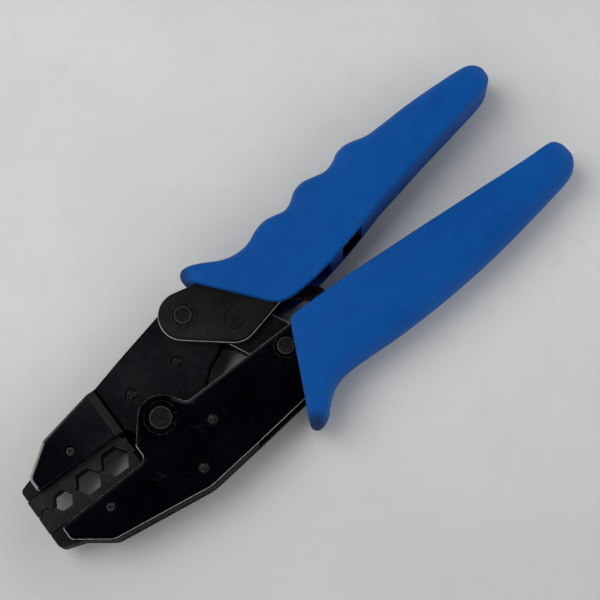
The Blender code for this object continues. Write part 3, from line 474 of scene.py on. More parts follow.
class Net:
    """A material's node tree with short calls for the nodes it is made of."""

    def __init__(self, name):
        self.material = bpy.data.materials.new(name)
        self.material.use_nodes = True
        self.tree = self.material.node_tree
        self.shader = self.tree.nodes["Principled BSDF"]

    def put(self, kind, inputs, **props):
        node = self.tree.nodes.new("ShaderNode" + kind)
        for key, value in props.items():
            setattr(node, key, value)
        for key, value in inputs.items():
            self.set(node.inputs[key], value)
        return node

    def set(self, socket, value):
        if is_socket(value):
            self.tree.links.new(value, socket)
        else:
            socket.default_value = value

    def out(self, **inputs):
        for key, value in inputs.items():
            self.set(self.shader.inputs[key.replace("_", " ")], value)

    def math(self, op, a, b=0.0):
        return self.put("Math", {0: a, 1: b}, operation=op).outputs[0]

    def mul(self, a, b):
        return self.math("MULTIPLY", a, b)

    def add(self, a, b):
        return self.math("ADD", a, b)

    def most(self, a, b):
        return self.math("MAXIMUM", a, b)

    def blend(self, a, b, share):
        """Weighted sum, share of a and the rest of b."""
        return self.add(self.mul(a, share), self.mul(b, 1 - share))

    def coords(self, seed=0.0, scale=(1, 1, 1), turn=0.0):
        """Object coordinates in millimetres, turned, shifted by the seed and scaled."""
        own = self.put("TexCoord", {}).outputs["Object"]
        mapped = self.put("Mapping", {"Vector": own, "Rotation": (0, 0, math.radians(turn)),
                                      "Scale": (1000, 1000, 1000)}, vector_type="POINT")
        shift = (seed * 17.3, seed * 9.1, seed * 5.7)
        moved = self.put("VectorMath", {0: mapped.outputs[0], 1: shift}, operation="ADD")
        return self.put("VectorMath", {0: moved.outputs[0], 1: tuple(scale)},
                        operation="MULTIPLY").outputs[0]

    def noise(self, vec, scale, detail=3.0, rough=0.55, distort=0.0):
        return self.put("TexNoise", {"Vector": vec, "Scale": scale, "Detail": detail,
                                     "Roughness": rough, "Distortion": distort}).outputs[0]

    def ramp(self, value, low, high, start=0.0, end=1.0):
        return self.put("MapRange", {"Value": value, "From Min": low, "From Max": high,
                                     "To Min": start, "To Max": end},
                        interpolation_type="SMOOTHSTEP").outputs[0]

    def mix(self, share, a, b):
        return self.put("Mix", {0: share, 2: a, 3: b}, data_type="FLOAT").outputs[0]

    def tint(self, mask, base, over, amount=None):
        """Base colour with another laid over it by the mask, times amount where given."""
        if amount is not None:
            mask = self.mul(mask, amount)
        return self.put("Mix", {0: mask, 6: colour(base), 7: colour(over)},
                        data_type="RGBA").outputs[2]

    def attr(self, name):
        return self.put("Attribute", {}, attribute_name=name).outputs["Fac"]

    def bump(self, height, strength, distance, normal=None):
        inputs = {"Height": height, "Strength": strength, "Distance": distance * MM}
        if normal is not None:
            inputs["Normal"] = normal
        return self.put("Bump", inputs).outputs[0]

    def scratches(self, seed, turn, long, fine, width, cover, here=0.0):
        """Fine near-straight lines: level lines of a noise drawn out along one direction."""
        drawn = self.coords(seed, (1 / long, 1 / fine, 1 / fine), turn)
        value = self.noise(drawn, scale=1.0, detail=1.0, rough=0.35, distort=0.12)
        level = self.math("ABSOLUTE", self.math("SUBTRACT", value, 0.5))
        line = self.ramp(level, low=width * 0.35, high=width, start=1.0, end=0.0)
        patch = self.ramp(self.noise(self.coords(seed + 3.1), scale=0.16, detail=2.0),
                          low=1 - cover, high=1 - cover + 0.09)
        return self.mul(line, self.most(patch, here))

    def specks(self, seed, pitch, size, cover, here=0.0):
        """Small nicks, gathered in patches."""
        pos = self.coords(seed)
        warp = self.noise(pos, scale=2.2, detail=2.0)
        cells = self.put("TexVoronoi", {"Vector": pos, "Scale": 1 / pitch, "Randomness": 1.0},
                         feature="F1")
        far = self.add(cells.outputs["Distance"], self.mul(warp, 0.25))
        dot = self.ramp(far, low=size, high=size + 0.05, start=1.0, end=0.0)
        pick = self.put("SeparateColor", {0: cells.outputs["Color"]}).outputs[0]
        rare = self.ramp(pick, low=0.55, high=0.62)
        patch = self.ramp(self.noise(self.coords(seed + 5.3), scale=0.11, detail=2.0),
                          low=1 - cover, high=1 - cover + 0.06)
        return self.mul(self.mul(dot, rare), self.most(patch, here))


def black_steel(name, seed, dark, pale, rough, spec, scratch, wear, turn, places=(), band=None,
                fade=None, shoulder_light=(0.030, 0.030, 0.032)):
    """Black oxide on stamped sheet: blotchy near-black, nicks, scratches and bare edges.

    places are scratched spots (x, y, radius); band is the colour of the painted reflection on
    the joggle's slope, whose foot gets a painted shadow; fade is (x from, x to, amount at from,
    amount at to) of a darker tone; the last colour tints the shoulders with painted light: a
    sheen where it is pale, a shade where it is dark.
    """
    net = Net(name)
    pos = net.coords(seed)
    big = net.noise(pos, scale=0.06, detail=4)
    mid = net.noise(pos, scale=0.45, detail=5, rough=0.6)
    fine = net.noise(pos, scale=3.0, detail=3)
    grain = net.noise(pos, scale=13.0, detail=2)
    col = net.tint(net.ramp(net.blend(big, mid, share=0.6), low=0.34, high=0.66), dark, pale)
    dust = net.mul(net.ramp(mid, low=0.58, high=0.78), net.ramp(fine, low=0.45, high=0.7))
    col = net.tint(dust, col, 0.020, amount=0.16)
    if fade:
        x = net.put("SeparateXYZ", {0: net.coords()}).outputs[0]
        darker = net.ramp(net.add(x, net.mul(big, 14.0)), *fade)
        col = net.tint(darker, col, (0.0006, 0.0010, 0.0022))
    here = 0.0
    for x, y, radius in places:
        far = net.put("VectorMath", {0: net.coords(), 1: (x, y, PLATE_OUT)},
                      operation="DISTANCE").outputs["Value"]
        far = net.add(far, net.mul(net.noise(pos, scale=0.5, detail=2), radius * 0.9))
        spot = net.ramp(far, low=radius * 0.9, high=radius * 1.5, start=1.0, end=0.0)
        here = net.most(here, spot)
    lines = net.most(
        net.scratches(seed + 1.3, turn + 24, long=26.0, fine=1.3, width=0.016, cover=0.40,
                      here=here),
        net.scratches(seed + 2.9, turn - 41, long=19.0, fine=1.1, width=0.015, cover=0.38,
                      here=here))
    lines = net.mul(lines, scratch)
    nick = net.mul(net.specks(seed + 7.7, pitch=1.5, size=0.16, cover=0.42, here=here), scratch)
    rub = net.attr("wear")
    ragged = net.add(net.mul(net.noise(pos, scale=1.1, detail=3), 0.75), net.mul(grain, 0.35))
    bare = net.ramp(net.add(net.mul(rub, wear), net.mul(ragged, 0.62)), low=0.88, high=1.16)
    halo = net.ramp(rub, low=0.0, high=0.7)
    col = net.tint(halo, col, (0.022, 0.022, 0.023), amount=0.30)
    # painted light on the shoulders: a sheen in a pale colour, a shade in a dark one
    shoulder = net.mul(net.attr("painted_shoulder_light"), net.ramp(mid, low=0.3, high=0.6, start=0.75, end=1.0))
    col = net.tint(shoulder, col, shoulder_light)
    # painted reflection on the joggle's slope, a lighter mottled colour, and painted shadow at its
    # foot, near-black
    if band:
        step = net.attr("band")         # 1 on the slope, -1 at its foot
        mottle = net.ramp(net.add(mid, net.mul(fine, 0.4)), low=0.35, high=0.75,
                          start=0.65, end=1.0)
        col = net.tint(net.mul(net.ramp(step, low=0.0, high=1.0), mottle), col, band)
        col = net.tint(net.ramp(step, low=0.0, high=-1.0), col, (0.0004, 0.0004, 0.0006))
    col = net.tint(lines, col, (0.030, 0.031, 0.032), amount=0.26)
    col = net.tint(nick, col, (0.13, 0.135, 0.14), amount=0.8)
    col = net.tint(bare, col, (0.22, 0.22, 0.2156))
    oxide_rough = net.add(net.mix(net.ramp(mid, low=0.35, high=0.65), *rough),
                          net.mul(dust, 0.2))
    normal = net.bump(net.blend(grain, fine, share=0.55), strength=0.22, distance=0.03)
    marks = net.mul(net.add(lines, nick), -1.0)
    normal = net.bump(marks, strength=0.3, distance=0.02, normal=normal)
    net.out(Base_Color=col, Metallic=net.most(net.mul(bare, 0.35), net.mul(nick, 0.2)),
            Roughness=net.mix(bare, oxide_rough, 0.42),
            Specular_IOR_Level=net.mix(bare, spec, 0.12),
            Normal=net.bump(big, strength=0.12, distance=0.25, normal=normal))
    return net.material


def ground_steel(name, seed, turn):
    """Dark die blocks, ground along one direction, with a fine grain, rubbed corners and painted
    shade on their upright faces.
    """
    net = Net(name)
    pos = net.coords(seed)
    drawn = net.coords(seed, (0.12, 3.6, 3.6), turn)
    streak = net.noise(drawn, scale=1.0, detail=4, rough=0.6)
    mid, grain = net.noise(pos, scale=0.5, detail=4), net.noise(pos, scale=9.0, detail=3)
    col = net.tint(net.ramp(net.blend(streak, mid, share=0.55), low=0.38, high=0.62),
                   (0.0078, 0.0078, 0.0092), (0.0150, 0.0150, 0.0170))
    nick = net.specks(seed + 2.2, pitch=1.6, size=0.14, cover=0.56)
    lines = net.scratches(seed + 1.1, turn + 35, long=7.0, fine=0.45, width=0.05, cover=0.44)
    wear = net.attr("wear")
    bare = net.ramp(net.add(wear, net.mul(net.noise(pos, scale=1.3, detail=3), 0.7)),
                    low=0.98, high=1.25)
    halo = net.ramp(wear, low=0.0, high=0.7)
    col = net.tint(halo, col, (0.085, 0.085, 0.087), amount=0.30)
    col = net.tint(lines, col, (0.10, 0.10, 0.105), amount=0.18)
    col = net.tint(nick, col, (0.15, 0.15, 0.155), amount=0.5)
    col = net.tint(bare, col, 0.09, amount=0.6)
    # painted shade: upright faces, such as the walls of the nests, are nearly black
    face = net.put("NewGeometry", {}).outputs["True Normal"]
    level = net.math("ABSOLUTE", net.put("SeparateXYZ", {0: face}).outputs[2])
    col = net.tint(net.ramp(level, low=0.25, high=0.6, start=0.92, end=0.0), col,
                   (0.0004, 0.0004, 0.0005))
    normal = net.bump(net.blend(streak, grain, share=0.6), strength=0.25, distance=0.03)
    marks = net.mul(net.add(lines, nick), -1.0)
    net.out(Base_Color=col, Metallic=net.mul(bare, 0.3), Specular_IOR_Level=0.05,
            Roughness=net.mix(net.ramp(streak, low=0.35, high=0.65), 0.40, 0.56),
            Normal=net.bump(marks, strength=0.3, distance=0.02, normal=normal))
    return net.material


def turned_steel(name, seed, dark, pale, bright, scuff, spec, rough=(0.30, 0.46), ring=1.0):
    """Blackened pins and rivets: lathe rings round the axis, scuffs and a rubbed rim."""
    net = Net(name)
    pos = net.coords(seed)
    own = net.put("SeparateXYZ", {0: net.coords()})
    square_x, square_y = [net.math("POWER", own.outputs[i], 2.0) for i in (0, 1)]
    radius = net.math("SQRT", net.add(square_x, square_y))
    wobble = net.mul(net.noise(pos, scale=0.8, detail=2), 5.0)
    wave = net.math("SINE", net.add(net.mul(radius, 24.0), wobble))
    mid, grain = net.noise(pos, scale=0.7, detail=4), net.noise(pos, scale=6.0, detail=3)
    col = net.tint(net.ramp(mid, low=0.36, high=0.64), dark, pale)
    ragged = net.mul(net.noise(pos, scale=1.0, detail=3), 0.8)
    rub = net.ramp(net.add(net.attr("wear"), ragged), low=0.95, high=1.3)
    patch = net.ramp(net.noise(pos, scale=1.1, detail=4, rough=0.65), low=0.50, high=0.66)
    col = net.tint(patch, col, (0.075, 0.075, 0.077), amount=scuff)
    nick = net.specks(seed + 1.7, pitch=0.9, size=0.15, cover=0.6)
    col = net.tint(nick, col, 0.18, amount=min(0.6, scuff * 2))
    col = net.tint(rub, col, bright, amount=0.85)
    relief = net.add(net.mul(net.mul(wave, 0.2), ring), net.mul(grain, 0.6))
    net.out(Base_Color=col, Metallic=net.most(0.0, net.mul(rub, 0.2)),
            Roughness=net.add(net.mix(net.ramp(mid, low=0.35, high=0.65), *rough),
                              net.mul(net.mul(wave, 0.03), ring)),
            Specular_IOR_Level=spec, Normal=net.bump(relief, strength=0.2, distance=0.02))
    return net.material


def blue_plastic(name, seed):
    """Moulded satin plastic: fine texture, faint mottling, rubbed-in grime and scuffs."""
    net = Net(name)
    pos = net.coords(seed)
    big, mid = net.noise(pos, scale=0.022, detail=3), net.noise(pos, scale=0.14, detail=4)
    fine = net.noise(pos, scale=1.1, detail=4)
    grain = net.noise(pos, scale=3.4, detail=3, rough=0.6)
    col = net.tint(net.ramp(net.blend(big, mid, share=0.65), low=0.36, high=0.64),
                   (0.0014, 0.0565, 0.248), (0.0026, 0.0680, 0.288))
    scuffs = net.most(
        net.scratches(seed + 1.0, turn=-34, long=16.0, fine=0.8, width=0.05, cover=0.40),
        net.scratches(seed + 2.0, turn=28, long=9.0, fine=0.6, width=0.05, cover=0.38))
    col = net.tint(scuffs, col, (0.022, 0.105, 0.33), amount=0.16)
    drawn = net.coords(seed, (0.5, 1.0, 1.0), turn=52)
    smear = net.blend(net.noise(drawn, scale=0.55, detail=4, rough=0.62), fine, share=0.7)
    dirt = net.add(net.attr("grime"), net.mul(smear, 0.9))
    grime = net.mul(net.ramp(dirt, low=0.72, high=1.35), 0.85)
    col = net.tint(grime, col, (0.0075, 0.0125, 0.024))
    spots = net.specks(seed + 6.0, pitch=2.6, size=0.09, cover=0.46)
    col = net.tint(spots, col, (0.004, 0.008, 0.016), amount=0.8)
    normal = net.bump(net.blend(grain, fine, share=0.65), strength=0.20, distance=0.06)
    normal = net.bump(net.mul(scuffs, -1.0), strength=0.15, distance=0.02, normal=normal)
    net.out(Base_Color=col, Specular_IOR_Level=0.06,
            Roughness=net.add(net.mix(net.ramp(mid, low=0.35, high=0.65), 0.44, 0.54),
                              net.mul(grime, 0.12)),
            Normal=net.bump(mid, strength=0.10, distance=0.5, normal=normal))
    return net.material


def bright_steel(name, seed):
    """Bare spring wire with dull brownish patches."""
    net = Net(name)
    pos = net.coords(seed)
    mid, grain = net.noise(pos, scale=0.6, detail=4), net.noise(pos, scale=7.0, detail=3)
    col = net.tint(net.ramp(mid, low=0.36, high=0.64), (0.10, 0.10, 0.105), (0.22, 0.22, 0.225))
    patch = net.ramp(net.noise(pos, scale=0.25, detail=3), low=0.5, high=0.7)
    col = net.tint(patch, col, (0.05, 0.045, 0.04), amount=0.6)
    net.out(Base_Color=col, Metallic=0.85, Roughness=net.mix(grain, 0.3, 0.46),
            Normal=net.bump(grain, strength=0.2, distance=0.02))
    return net.material


# the shoulder colours of the plate steels are painted light: a pale sheen on the frame and the jaw,
# a dark shade on the handle
FRAME_STEEL = black_steel(
    "oxide_fixed", 1.0, dark=(0.0007, 0.0006, 0.0015), pale=(0.0019, 0.0020, 0.0034),
    rough=(0.36, 0.50), spec=0.0, scratch=1.0, wear=1.0, turn=33,
    places=((12.5, -11.5, 4.2), (20.5, -6.0, 3.2), (30.5, -19.8, 2.0), (2.0, -22.5, 2.6),
            (45.0, -8.0, 3.0)))
# the jaw's band colour is the painted reflection on the joggle's slope
JAW_STEEL = black_steel(
    "oxide_jaw", 2.0, dark=(0.0042, 0.0050, 0.0064), pale=(0.0092, 0.0106, 0.0118),
    rough=(0.36, 0.52), spec=0.004, scratch=0.8, wear=0.95, turn=10,
    places=((-30.0, 12.0, 3.0), (-4.0, 9.5, 2.2)), band=(0.0180, 0.0180, 0.0185),
    fade=(-30.0, -6.0, 0.85, 0.0), shoulder_light=0.24)
HANDLE_STEEL = black_steel(
    "oxide_handle", 3.0, dark=(0.0088, 0.0097, 0.0080), pale=(0.0172, 0.0190, 0.0156),
    rough=(0.40, 0.55), spec=0.01, scratch=0.6, wear=1.0, turn=-20, places=((43.0, 15.5, 1.5),),
    fade=(30.0, 50.0, 0.0, 0.35), shoulder_light=(0.0009, 0.0010, 0.0009))
FLUSH_PIN_STEEL = black_steel(
    "oxide_flush_pin", 16.0, dark=(0.0070, 0.0074, 0.0066), pale=(0.0132, 0.0140, 0.0124),
    rough=(0.40, 0.55), spec=0.01, scratch=0.5, wear=1.0, turn=25)
# the core has no joggle slope, so its band colour never shows; band only switches on the painted
# shade of the stop
CORE_STEEL = black_steel(
    "oxide_core", 4.0, dark=0.0065, pale=(0.0160, 0.0160, 0.0158), rough=(0.42, 0.56),
    spec=0.02, scratch=0.9, wear=0.85, turn=60, band=0.0120)
LINK_STEEL = black_steel(
    "oxide_link", 5.0, dark=(0.0048, 0.0048, 0.0050), pale=(0.0118, 0.0118, 0.0122),
    rough=(0.36, 0.52), spec=0.01, scratch=0.9, wear=1.0, turn=70)
# near-black steel for the inner pieces; the same colour is the painted shade of the notch floor in
# the upper grip and of the jaw web in the void behind the dies
INNER_STEEL_AND_SHADE = black_steel(
    "oxide_inner_and_shade", 6.0, dark=(0.0006, 0.0006, 0.0008), pale=0.0022, rough=(0.45, 0.60),
    spec=0.0, scratch=0.5, wear=0.5, turn=0)
DIE_STEEL = ground_steel("die_blocks", 7.0, turn=90)
PIN_STEEL = turned_steel(
    "pin_ends", 8.0, dark=(0.0050, 0.0048, 0.0056), pale=(0.0102, 0.0099, 0.0106),
    bright=0.045, scuff=0.12, spec=0.015)
RING_STEEL = turned_steel(
    "retaining_rings", 9.0, dark=(0.0004, 0.0004, 0.0008), pale=(0.0024, 0.0024, 0.0028),
    bright=0.07, scuff=0.0, spec=0.0, ring=0.3)
JAW_RING_STEEL = turned_steel(
    "jaw_pin_ring_steel", 15.0, dark=(0.0046, 0.0050, 0.0044), pale=(0.0092, 0.0100, 0.0086),
    bright=0.06, scuff=0.1, spec=0.01, ring=0.3)
RIVET_STEEL = turned_steel(
    "rivet_heads", 10.0, dark=(0.0034, 0.0040, 0.0042), pale=(0.0125, 0.0132, 0.0134),
    bright=0.06, scuff=0.55, spec=0.03, rough=(0.26, 0.42), ring=0.4)
JAW_RIVET_STEEL = turned_steel(
    "jaw_rivet_heads", 14.0, dark=(0.0024, 0.0030, 0.0032), pale=(0.0100, 0.0112, 0.0114),
    bright=0.05, scuff=0.45, spec=0.01, rough=(0.26, 0.42), ring=0.4)
SCREW_STEEL = turned_steel(
    "screws", 11.0, dark=(0.0020, 0.0026, 0.0034), pale=(0.0110, 0.0120, 0.0136),
    bright=0.09, scuff=0.4, spec=0.03, rough=(0.28, 0.44), ring=0.6)
GRIP_BLUE = blue_plastic("blue_plastic", 12.0)
SPRING_WIRE = bright_steel("spring_wire", 13.0)

# ---------------------------------------------------------------- wear, and painted light and shade on the shoulders
ROLL = 0.36             # rolled edge on the outer side of the plates
UPPER_PLATE = dict(z0=PLATE_IN, z1=PLATE_OUT, edge=(0.12, ROLL), hole_edge=(0.1, 0.16),
                   wear=(0.3, 1.0), seg=5)
LOWER_PLATE = dict(z0=-PLATE_OUT, z1=-PLATE_IN, edge=(ROLL, 0.12), hole_edge=(0.16, 0.1),
                   wear=(0.8, 0.4), seg=5)


def handled(x, y, nx, ny):
    """Rub of an edge facing (nx, ny): most on the -x ends and along the -y sides."""
    return 0.25 + 0.75 * max(0.0, -0.99 * nx - 0.13 * ny, -0.8 * ny)


def rub_frame(x, y, nx, ny):
    if ny > 0.5:
        return 0.70 if x > 8.0 else 0.66
    return handled(x, y, nx, ny)


def rub_jaw(x, y, nx, ny):
    if ny < -0.5 and x > -46.5:
        return 0.05
    if x > -10.0:
        return 0.15
    return 0.97 if nx < -0.5 else 0.62 if x < -12.0 else 0.4


# share of painted sheen on the shoulders of the jaw plates: full on the edges facing -x, less on the
# -x part of the +y edge
def tint_jaw(x, y, nx, ny):
    if nx < -0.45 and ny > -0.3:
        return 1.0
    return 0.35 if nx < -0.15 and ny > 0.0 and x < -14.0 else 0.0


# share of painted sheen on the shoulders of the +y edges of the frame plate
def tint_frame(x, y, nx, ny):
    if ny > 0.5 and x > 8.0:
        return 1.0 if x < 15.0 else 0.35
    return 0.25 if ny > 0.5 and x < -11.0 else 0.0


def tint_handle(x, y, nx, ny):
    """Painted shade along the -y side of the plate, inside its bare edge."""
    return 0.9 if ny < -0.3 else 0.45 if nx < -0.5 else 0.0


# ---------------------------------------------------------------- fixed frame
EAR_R = 8.2             # frame ear round the main pivot
EAR_FOOT = (-12.6, -2.6)
ear_start = tangent_angle(EAR_FOOT, PIVOT, EAR_R) % 360.0
frame_outline = path([      # corners x, y, radius
    (-48.3, -9.5, 1.5), (-12.5, -8.5, 2.6), (*EAR_FOOT, 2.0), arc(PIVOT, EAR_R, ear_start, 34.0),
    (10.5, -0.7, 2.4), (55.0, -0.5, 0), (60.0, -1.2, 0), (88.0, -1.9, 0),
    (TANG_END, -6.6, 2.0), (TANG_END, -15.6, 2.0), (75.0, -18.6, 12.0), (60.0, -23.0, 8.0),
    (40.5, -25.0, 0), (20.0, -27.3, 0), (0.0, -29.3, 10.0), (-36.5, -23.8, 6.0),
    (-48.3, -14.9, 2.6),
])
core_rivet_holes = [circle(c, FRAME_RIVET_HOLE) for c in FRAME_RIVETS]
frame_tang_holes = [circle(c, TANG_HOLE) for c in FRAME_TANG_RIVETS]
frame_holes = [circle(PIVOT, PIVOT_HOLE, 96), circle(LINK_PIN, LINK_HOLE), *core_rivet_holes,
               circle(LOWER_SCREW, JAW_HOLE), *frame_tang_holes, circle(ANCHOR, 1.3)]
prism("frame_plate_upper", "fixed_plate_top", frame_outline, look=FRAME_STEEL, holes=frame_holes,
      rubbed=rub_frame, painted_shoulder_light=tint_frame, **UPPER_PLATE)
prism("frame_plate_lower", "fixed_plate_bottom", frame_outline, look=FRAME_STEEL,
      holes=frame_holes, rubbed=handled, **{**LOWER_PLATE, "edge": (ROLL, 0.14), "wear": (0.8, 0.8)})

# slot in the core blocks round the screw tab of the dies
TAB_HALF = 5.0
slot_x0, slot_x1 = LOWER_SCREW[0] - TAB_HALF - 0.3, LOWER_SCREW[0] + TAB_HALF + 0.3
stop_x = DIE_X1 + 0.03
core_block = prism("frame_core_block", "fixed_jaw_core", path([
    (DIE_X0, -9.0, 0.4), (slot_x0, -9.0, 0.3), (slot_x0, -19.3, 0.8), (slot_x1, -19.3, 0.8),
    (slot_x1, -9.0, 0.3), (stop_x, -9.0, 0), (stop_x, -2.9, 0.4), (-9.3, -2.9, 0.4),
    (-9.3, -9.9, 0.5), (9.2, -9.9, 0.8), (10.8, -7.9, 0.8), (18.0, -7.9, 2.0),
    (22.0, -14.0, 3.0), (22.0, -26.8, 1.5), (0.0, -29.1, 10.0), (-36.4, -23.6, 2.5),
    (-44.8, -17.7, 3.0), (DIE_X0, -14.7, 2.3),
]), -CORE_Z, CORE_Z, CORE_STEEL, core_rivet_holes, edge=(0.25, 0.28), wear=(0.8, 0.85),
    rubbed=handled)
core_data = core_block.data
for v, band, worn in zip(core_data.vertices, core_data.attributes["band"].data,
                         core_data.attributes["wear"].data):
    # painted shade: the stop beside the die end is made near-black through the band value -1, and
    # gets no wear
    if v.co.x / MM > DIE_X1 and v.co.y / MM > -9.6:      # the stop on the +x side of the die
        band.value = -1.0
        worn.value = 0.0
prism("frame_tang_spacer", "fixed_handle_spacer",
      path([(92.0, -4.4, 1.5), (146.0, -8.2, 1.5), (146.0, -14.2, 1.5), (92.0, -15.6, 1.5)]),
      -CORE_Z, CORE_Z, INNER_STEEL_AND_SHADE, frame_tang_holes)


# ---------------------------------------------------------------- rivets, pins and rings
def domed_rivet(name, node, half, dome, phase, look):
    """Rivet with low domes at both ends, their height slightly uneven round the axis."""
    radius = 1.75
    top = [(radius, half), (radius * 0.9, half + dome * 0.35, 0.25),
           (radius * 0.45, half + dome, 0.5), (0, half + dome)]
    bottom = [(p[0], -p[1], *p[2:]) for p in reversed(top)]
    ob = turned(name, node, bottom + top, look, n=48, wear=0.35)
    for v in ob.data.vertices:
        z = abs(v.co.z / MM)
        if z > half + 0.02:
            swell = 0.5 + 0.5 * math.sin(3 * math.atan2(v.co.y, v.co.x) + half + phase)
            v.co.z *= 1 - 0.006 * swell * min(1.0, (z - half) / 0.1)


def plain_pin(name, node, radius, half, rounding, look=RIVET_STEEL, n=40, wear=1.0):
    """Cylinder with rounded rims, equally high on both sides of the mid plane."""
    turned(name, node, [(0, -half), (radius, -half, rounding), (radius, half, rounding),
                        (0, half)], look, n=n, wear=wear)


def ringed_pin(name, node, head, shank, groove, bottom, groove_z, top, head_round, n=96):
    """Pin with a head at its -z end and a groove for a retaining ring at its +z end."""
    turned(name, node, [
        (0, bottom), (head, bottom, head_round), (head, -6.6, 0.12), (shank, -6.6),
        (shank, groove_z), (groove, groove_z), (groove, 7.05), (shank, 7.05, 0.06),
        (shank, top, 0.24), (0, top)], PIN_STEEL, n=n)


def clip(name, node, pin, r_in, r_out, z0, gap_at, gap, look=RING_STEEL):
    """Open retaining ring round a pin; gap is its opening in degrees, centred on gap_at."""
    start, end = gap_at + gap / 2, gap_at + 360 - gap / 2
    prism(name, node, arc(pin, r_out, start, end) + arc(pin, r_in, end, start), z0, 7.0, look,
          edge=(0.06, 0.14), wear=(0.3, 0.8), at=pin, margin=0.06)


domed_rivet("rivet_frame_rear", "frame_rear_rivet", PLATE_OUT, 0.25, 3, RIVET_STEEL)
domed_rivet("rivet_frame_front", "frame_front_rivet", PLATE_OUT, 0.25, 2, RIVET_STEEL)
for piece, node in (("rivet_tang_front", "fixed_handle_rivet_front"),
                    ("rivet_tang_rear", "fixed_handle_rivet_rear"),
                    ("rivet_handle_front", "handle_rivet_front"),
                    ("rivet_handle_rear", "handle_rivet_rear")):
    plain_pin(piece, node, 1.7, PLATE_OUT, 0.15, n=48)

ringed_pin("pivot_pin_main", "main_pivot_pin", head=5.4, shank=3.9, groove=3.2, bottom=-8.0,
           groove_z=6.55, top=7.55, head_round=0.5, n=128)
for piece, node in (("pivot_pin_link", "link_pivot_pin"), ("pivot_pin_jaw", "jaw_handle_pin")):
    ringed_pin(piece, node, head=4.4, shank=3.0, groove=2.45, bottom=-7.6, groove_z=6.5,
               top=7.7, head_round=0.4)
plain_pin("pivot_pin_toggle", "handle_link_pin", 3.3, PLATE_OUT, 0.18, FLUSH_PIN_STEEL, n=96,
          wear=0.55)

clip("clip_main", "main_pivot_ring", PIVOT, 3.45, 5.9, z0=6.6, gap_at=-40.0, gap=44.0)
clip("clip_link", "link_pivot_ring", LINK_PIN, 2.7, 4.3, z0=6.55, gap_at=60.0, gap=70.0)
clip("clip_jaw", "jaw_pin_ring", JAW_PIN, 2.7, 4.3, z0=6.55, gap_at=60.0, gap=70.0,
     look=JAW_RING_STEEL)
plain_pin("spring_pin_frame", "spring_anchor_pin", 1.0, PLATE_OUT, 0.12)

# ---------------------------------------------------------------- dies and screws
NESTS = ((-43.0, 6.48), (-32.5, 8.23), (-21.3, 9.14))       # hexagons: x, width across flats
PART_Y = -1.7           # parting line of the dies
HALF_GAP = 0.15
NEST_CHAMFER = 0.55


def die_outline(side):
    """Die on the -y (side -1) or +y (side 1) of the parting line."""
    face = PART_Y + side * HALF_GAP
    if side < 0:        # a small rib at the -x end stands into a groove of the other die
        back, tab, end_x = -8.7, -19.0, DIE_X1
        notch_x, depth = (-51.3, -50.7, -49.1, -48.5), 1.0
    else:
        back, tab, end_x = 4.8, 14.3, DIE_X1 - 0.7
        notch_x, depth = (-51.8, -51.1, -48.7, -48.0), 1.15
    points = [(DIE_X0 + 0.3, face)]
    points += zip(notch_x, (face, face + depth, face + depth, face))
    for x, flats in NESTS:
        corner = flats / math.sqrt(3)
        mouth = corner - HALF_GAP / math.sqrt(3)
        outside, inside = mouth + NEST_CHAMFER * 1.1, mouth - NEST_CHAMFER * 0.35
        lip, flat = face + side * NEST_CHAMFER * 0.9, PART_Y + side * flats / 2
        points += [(x - outside, face), (x - inside, lip), (x - corner / 2, flat),
                   (x + corner / 2, flat), (x + inside, lip), (x + outside, face)]
    tab_x0, tab_x1 = LOWER_SCREW[0] - TAB_HALF, LOWER_SCREW[0] + TAB_HALF
    points += [(DIE_X1, face), (end_x, back), (tab_x1, back), (tab_x1, tab), (tab_x0, tab),
               (tab_x0, back), (DIE_X0, back), (DIE_X0, face + side * 0.3)]
    return path([(x, y, 0.1) for x, y in points])


for piece, node, side, screw_at in (("die_lower", "lower_die", -1, LOWER_SCREW),
                                    ("die_upper", "upper_die", 1, UPPER_SCREW)):
    prism(piece, node, die_outline(side), -CORE_Z, CORE_Z, DIE_STEEL, [circle(screw_at, 1.85)],
          edge=(0.14, 0.14), wear=(0.6, 0.6), margin=0.08, seg=2)


def screw(name, node):
    """Socket head screw: knurled head at -z, hexagon socket, rounded tip in the plate."""
    ob = turned(name, node, [
        (0, -9.0), (2.8, -9.0, 0.3), (2.8, -6.6, 0.1), (1.5, -6.6), (1.5, 5.3, 0.12),
        (1.1, 5.6, 0.15), (0, 5.6)], SCREW_STEEL, wear=0.8)
    for v in ob.data.vertices:
        x, y, z = v.co / MM
        if math.hypot(x, y) > 2.72 and -8.75 < z < -6.75:
            knurl = 1 - 0.02 * (0.5 + 0.5 * math.cos(48 * math.atan2(y, x)))
            v.co.x *= knurl
            v.co.y *= knurl
    cut(ob, circle(centre(node), 1.45, 6), -9.5, -7.6)


screw("screw_lower_die", "lower_die_screw")
screw("screw_upper_die", "upper_die_screw")

